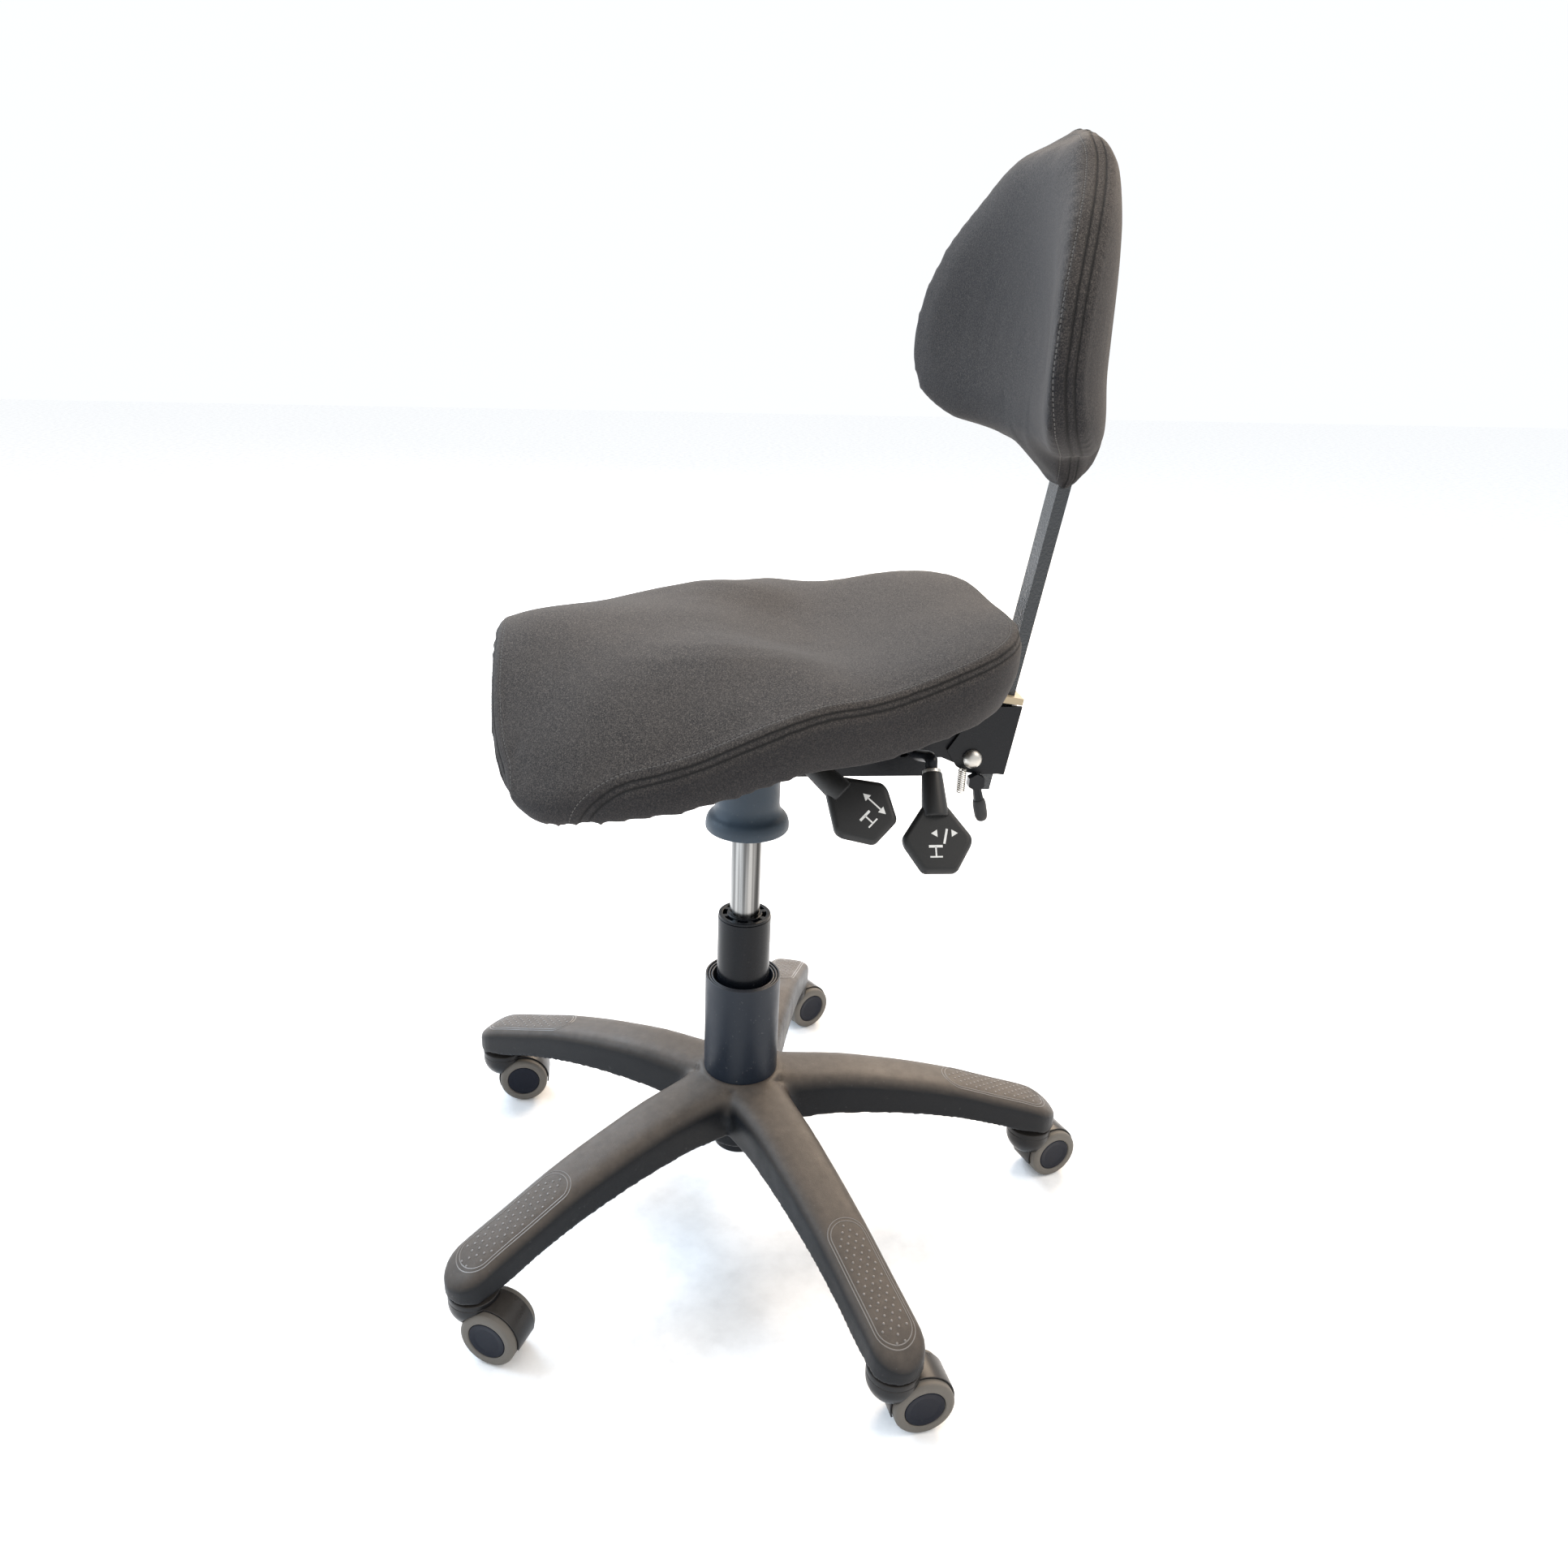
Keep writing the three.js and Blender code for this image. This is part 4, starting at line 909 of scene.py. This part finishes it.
def glyphs(kind):
    """Plain signs: a stool in outline with arrows for up and down, or a back that leans."""
    bars = [glyph_bar(-8, -8, 3, -8, 2.0), glyph_bar(-2.5, -8, -2.5, -16, 1.2),
            glyph_bar(-7.5, -16.5, 2.5, -16.5, 1.2)]
    if kind == "height":
        bars += [glyph_bar(10, -14, 10, 0, 1.2), [(6.8, -0.5), (13.2, -0.5), (10, 5)],
                 [(6.8, -13.5), (10, -19), (13.2, -13.5)]]
    else:
        bars += [glyph_bar(4.5, -6, 7.5, 6, 1.8), [(11, -0.5), (11, 5.5), (16, 2.5)],
                 [(-0.5, -0.5), (-0.5, 5.5), (-5.5, 2.5)]]
    verts, faces = [], []
    for b in bars:
        n = len(b)
        k = len(verts)
        verts += [(x, y, 4.40) for x, y in b] + [(x, y, 4.62) for x, y in b]
        faces += [tuple(range(k, k + n))[::-1], tuple(range(k + n, k + 2 * n))]
        faces += [(k + j, k + (j + 1) % n, k + n + (j + 1) % n, k + n + j) for j in range(n)]
    return verts, faces


LEVER_Z = 503.0
for name, at, turn, wall_y, finger, lean in (("height", (143, 73, 485), 45, 25, (-4, 0), 0),
                                             ("tilt", (146, 137, 460), 0, 131, (14, 131), 0)):
    rot, where = paddle_frame(at, turn)
    m = Matrix.Translation(where) @ rot
    metres = Matrix.Translation(where / 1000) @ rot
    body = f"{name}_lever"
    build(f"{name}_paddle", *paddle_mesh(), PADDLE, body, "gloss_nylon", (f"{name}_lever_paddle",), metres,
          30)
    build(f"{name}_sign", *glyphs(name), WHITE, body, "gloss_nylon", (), metres)
    bend = m @ Vector((0, 66, 0))
    drop = (80, wall_y * 0.7 + bend.y * 0.3, LEVER_Z * 0.7 + bend.z * 0.3)
    path = smooth_path([(finger[0], finger[1], LEVER_Z + 4.4),
                        (32, (wall_y * 2 + finger[1]) / 3, LEVER_Z + 3), (58, wall_y, LEVER_Z), drop, bend[:],
                        (m @ Vector((0, 55, 0)))[:], (m @ Vector((0, 22, 0)))[:]], 12)
    build(f"{name}_rod", *tube(path, 5.0, 24), COAT, body, "coated_steel", (f"{name}_lever_rod",))
    build(f"{name}_collar", *moved(lathe(rounded([(4.9, 51.5), (7.6, 51.5), (7.6, 56), (4.9, 56)], 0.8), 32),
                                   m @ Matrix.Rotation(-math.pi / 2, 4, "X")), STEEL, body, "steel")

# ------------------------------------------------------------------ back bracket and post
pivot = Vector(JOINTS["back_recline"]["pos_m"]) * 1000
dome = [(0, 27.9)]
for t in range(10, 91, 8):
    dome.append((8.7 * math.sin(math.radians(t)), 21.4 + 6.5 * math.cos(math.radians(t))))
bolt = lathe(dome + [(8.7, 20.4), (5, 20.4), (5, -28), (0, -28)], 48)
build("pivot_dome", *moved(bolt, Matrix.Translation(pivot) @ Matrix.Rotation(math.pi / 2, 4, "Y")), STEEL,
      "back_carrier", "steel", ("pivot_bolt",))
lock = Vector(JOINTS["lock_lever_hinge"]["pos_m"]) * 1000
tilt = Matrix.Translation(lock) @ Matrix.Rotation(math.radians(14), 4, "X")
build("lock_tip", *moved(lathe(rounded([(0, -39), (4.2, -38.5), (5.8, -34), (6, -22), (5.2, -17.6),
                                        (0, -17.6)],
                                       [0, 2, 2, 2, 0.8, 0]), 32), tilt),
      RUBBER, "lock", "rubber", ("lock_lever_tip",))
spring = [(3.4 * math.cos(t * 0.7), 3.4 * math.sin(t * 0.7), -2 - t * 0.22) for t in range(100)]
hang = Matrix.Translation((lock.x, lock.y - 13, lock.z + 14))
build("lock_spring", *moved(tube(spring, 0.6, 6), hang), STEEL, "back_carrier", "steel")

LOOK = {
    "piston_rod": STEEL, "thrust_bearing": STEEL, "release_pin": STEEL, "mechanism_housing": COAT,
    "seat_pan": BOARD, "back_bracket": COAT, "post_guide": BUSH, "pivot_nut": STEEL, "lock_lever": COAT,
    "back_post": HAMMER, "back_shell": BOARD,
}
for name, ob in frame["nodes"].items():
    mat = LOOK.get(name, STEEL)
    ob.data.materials.clear()
    ob.data.materials.append(mat)
for name, width in (("back_bracket", 0.0016), ("mechanism_housing", 0.0008), ("back_post", 0.0012),
                    ("post_guide", 0.0009), ("lock_lever", 0.0005)):
    b = frame["nodes"][name].modifiers.new("edge", "BEVEL")
    b.width, b.segments, b.limit_method, b.angle_limit = width, 3, "ANGLE", math.radians(40)
    b.harden_normals = False

# ------------------------------------------------------------------ floor, light and camera
floor_mat = plastic("studio floor", (0.96, 0.96, 0.96), 0.9)
FLOOR_HALF = 9000
corners = [(x * FLOOR_HALF, y * FLOOR_HALF, 0) for x, y in ((-1, -1), (1, -1), (1, 1), (-1, 1))]
floor = build("floor", corners, [(0, 1, 2, 3)], floor_mat)
floor.location.z = -0.0005

world = bpy.data.worlds.new("studio")
world.use_nodes = True
world.node_tree.nodes["Background"].inputs["Color"].default_value = (0.96, 0.98, 1.0, 1)
world.node_tree.nodes["Background"].inputs["Strength"].default_value = 1.03
scene.world = world


def area(name, at, aim, size, power, colour):
    light = bpy.data.lights.new(name, "AREA")
    light.shape, light.size, light.energy, light.color = "DISK", size, power, colour
    ob = bpy.data.objects.new(name, light)
    ob.location = at
    ob.rotation_euler = (Vector(aim) - Vector(at)).to_track_quat("-Z", "Y").to_euler()
    ob.visible_camera = False
    scene.collection.objects.link(ob)


area("key", (0.9, 2.0, 2.5), (0, 0, 0.5), 1.4, 24, (1.0, 0.88, 0.76))
area("cool", (-0.5, -2.6, 1.6), (0, 0, 0.4), 1.4, 42, (0.62, 0.80, 1.0))
area("over", (-0.3, 0.4, 3.2), (0, 0, 0.4), 2.2, 22, (1.0, 0.92, 0.84))
area("warm_rim", (-2.5, 1.6, 2.5), (0, 0, 0.2), 2.0, 120, (1.0, 0.80, 0.60))
area("cool_rim", (-2.6, -1.5, 2.5), (0, 0, 0.2), 2.0, 110, (0.74, 0.86, 1.0))
scene.view_settings.view_transform = "Standard"

yaw, pitch, roll = math.radians(84.5), math.radians(22.05), 0.02725
rear = Vector((math.sin(yaw) * math.cos(pitch), -math.cos(yaw) * math.cos(pitch), math.sin(pitch)))
right = Vector((math.cos(yaw), math.sin(yaw), 0))
up = rear.cross(right)
right, up = right * math.cos(roll) + up * math.sin(roll), up * math.cos(roll) - right * math.sin(roll)
lens = bpy.data.cameras.new("camera")
lens.lens, lens.sensor_width, lens.shift_x, lens.shift_y = 27.72, 36, 0.0251, 0.0018
camera = bpy.data.objects.new("camera", lens)
CAMERA_AT = (1.00185, -0.09968, 0.85332)
camera.matrix_world = Matrix.Translation(CAMERA_AT) @ Matrix((right, up, rear)).transposed().to_4x4()
scene.collection.objects.link(camera)
scene.camera = camera
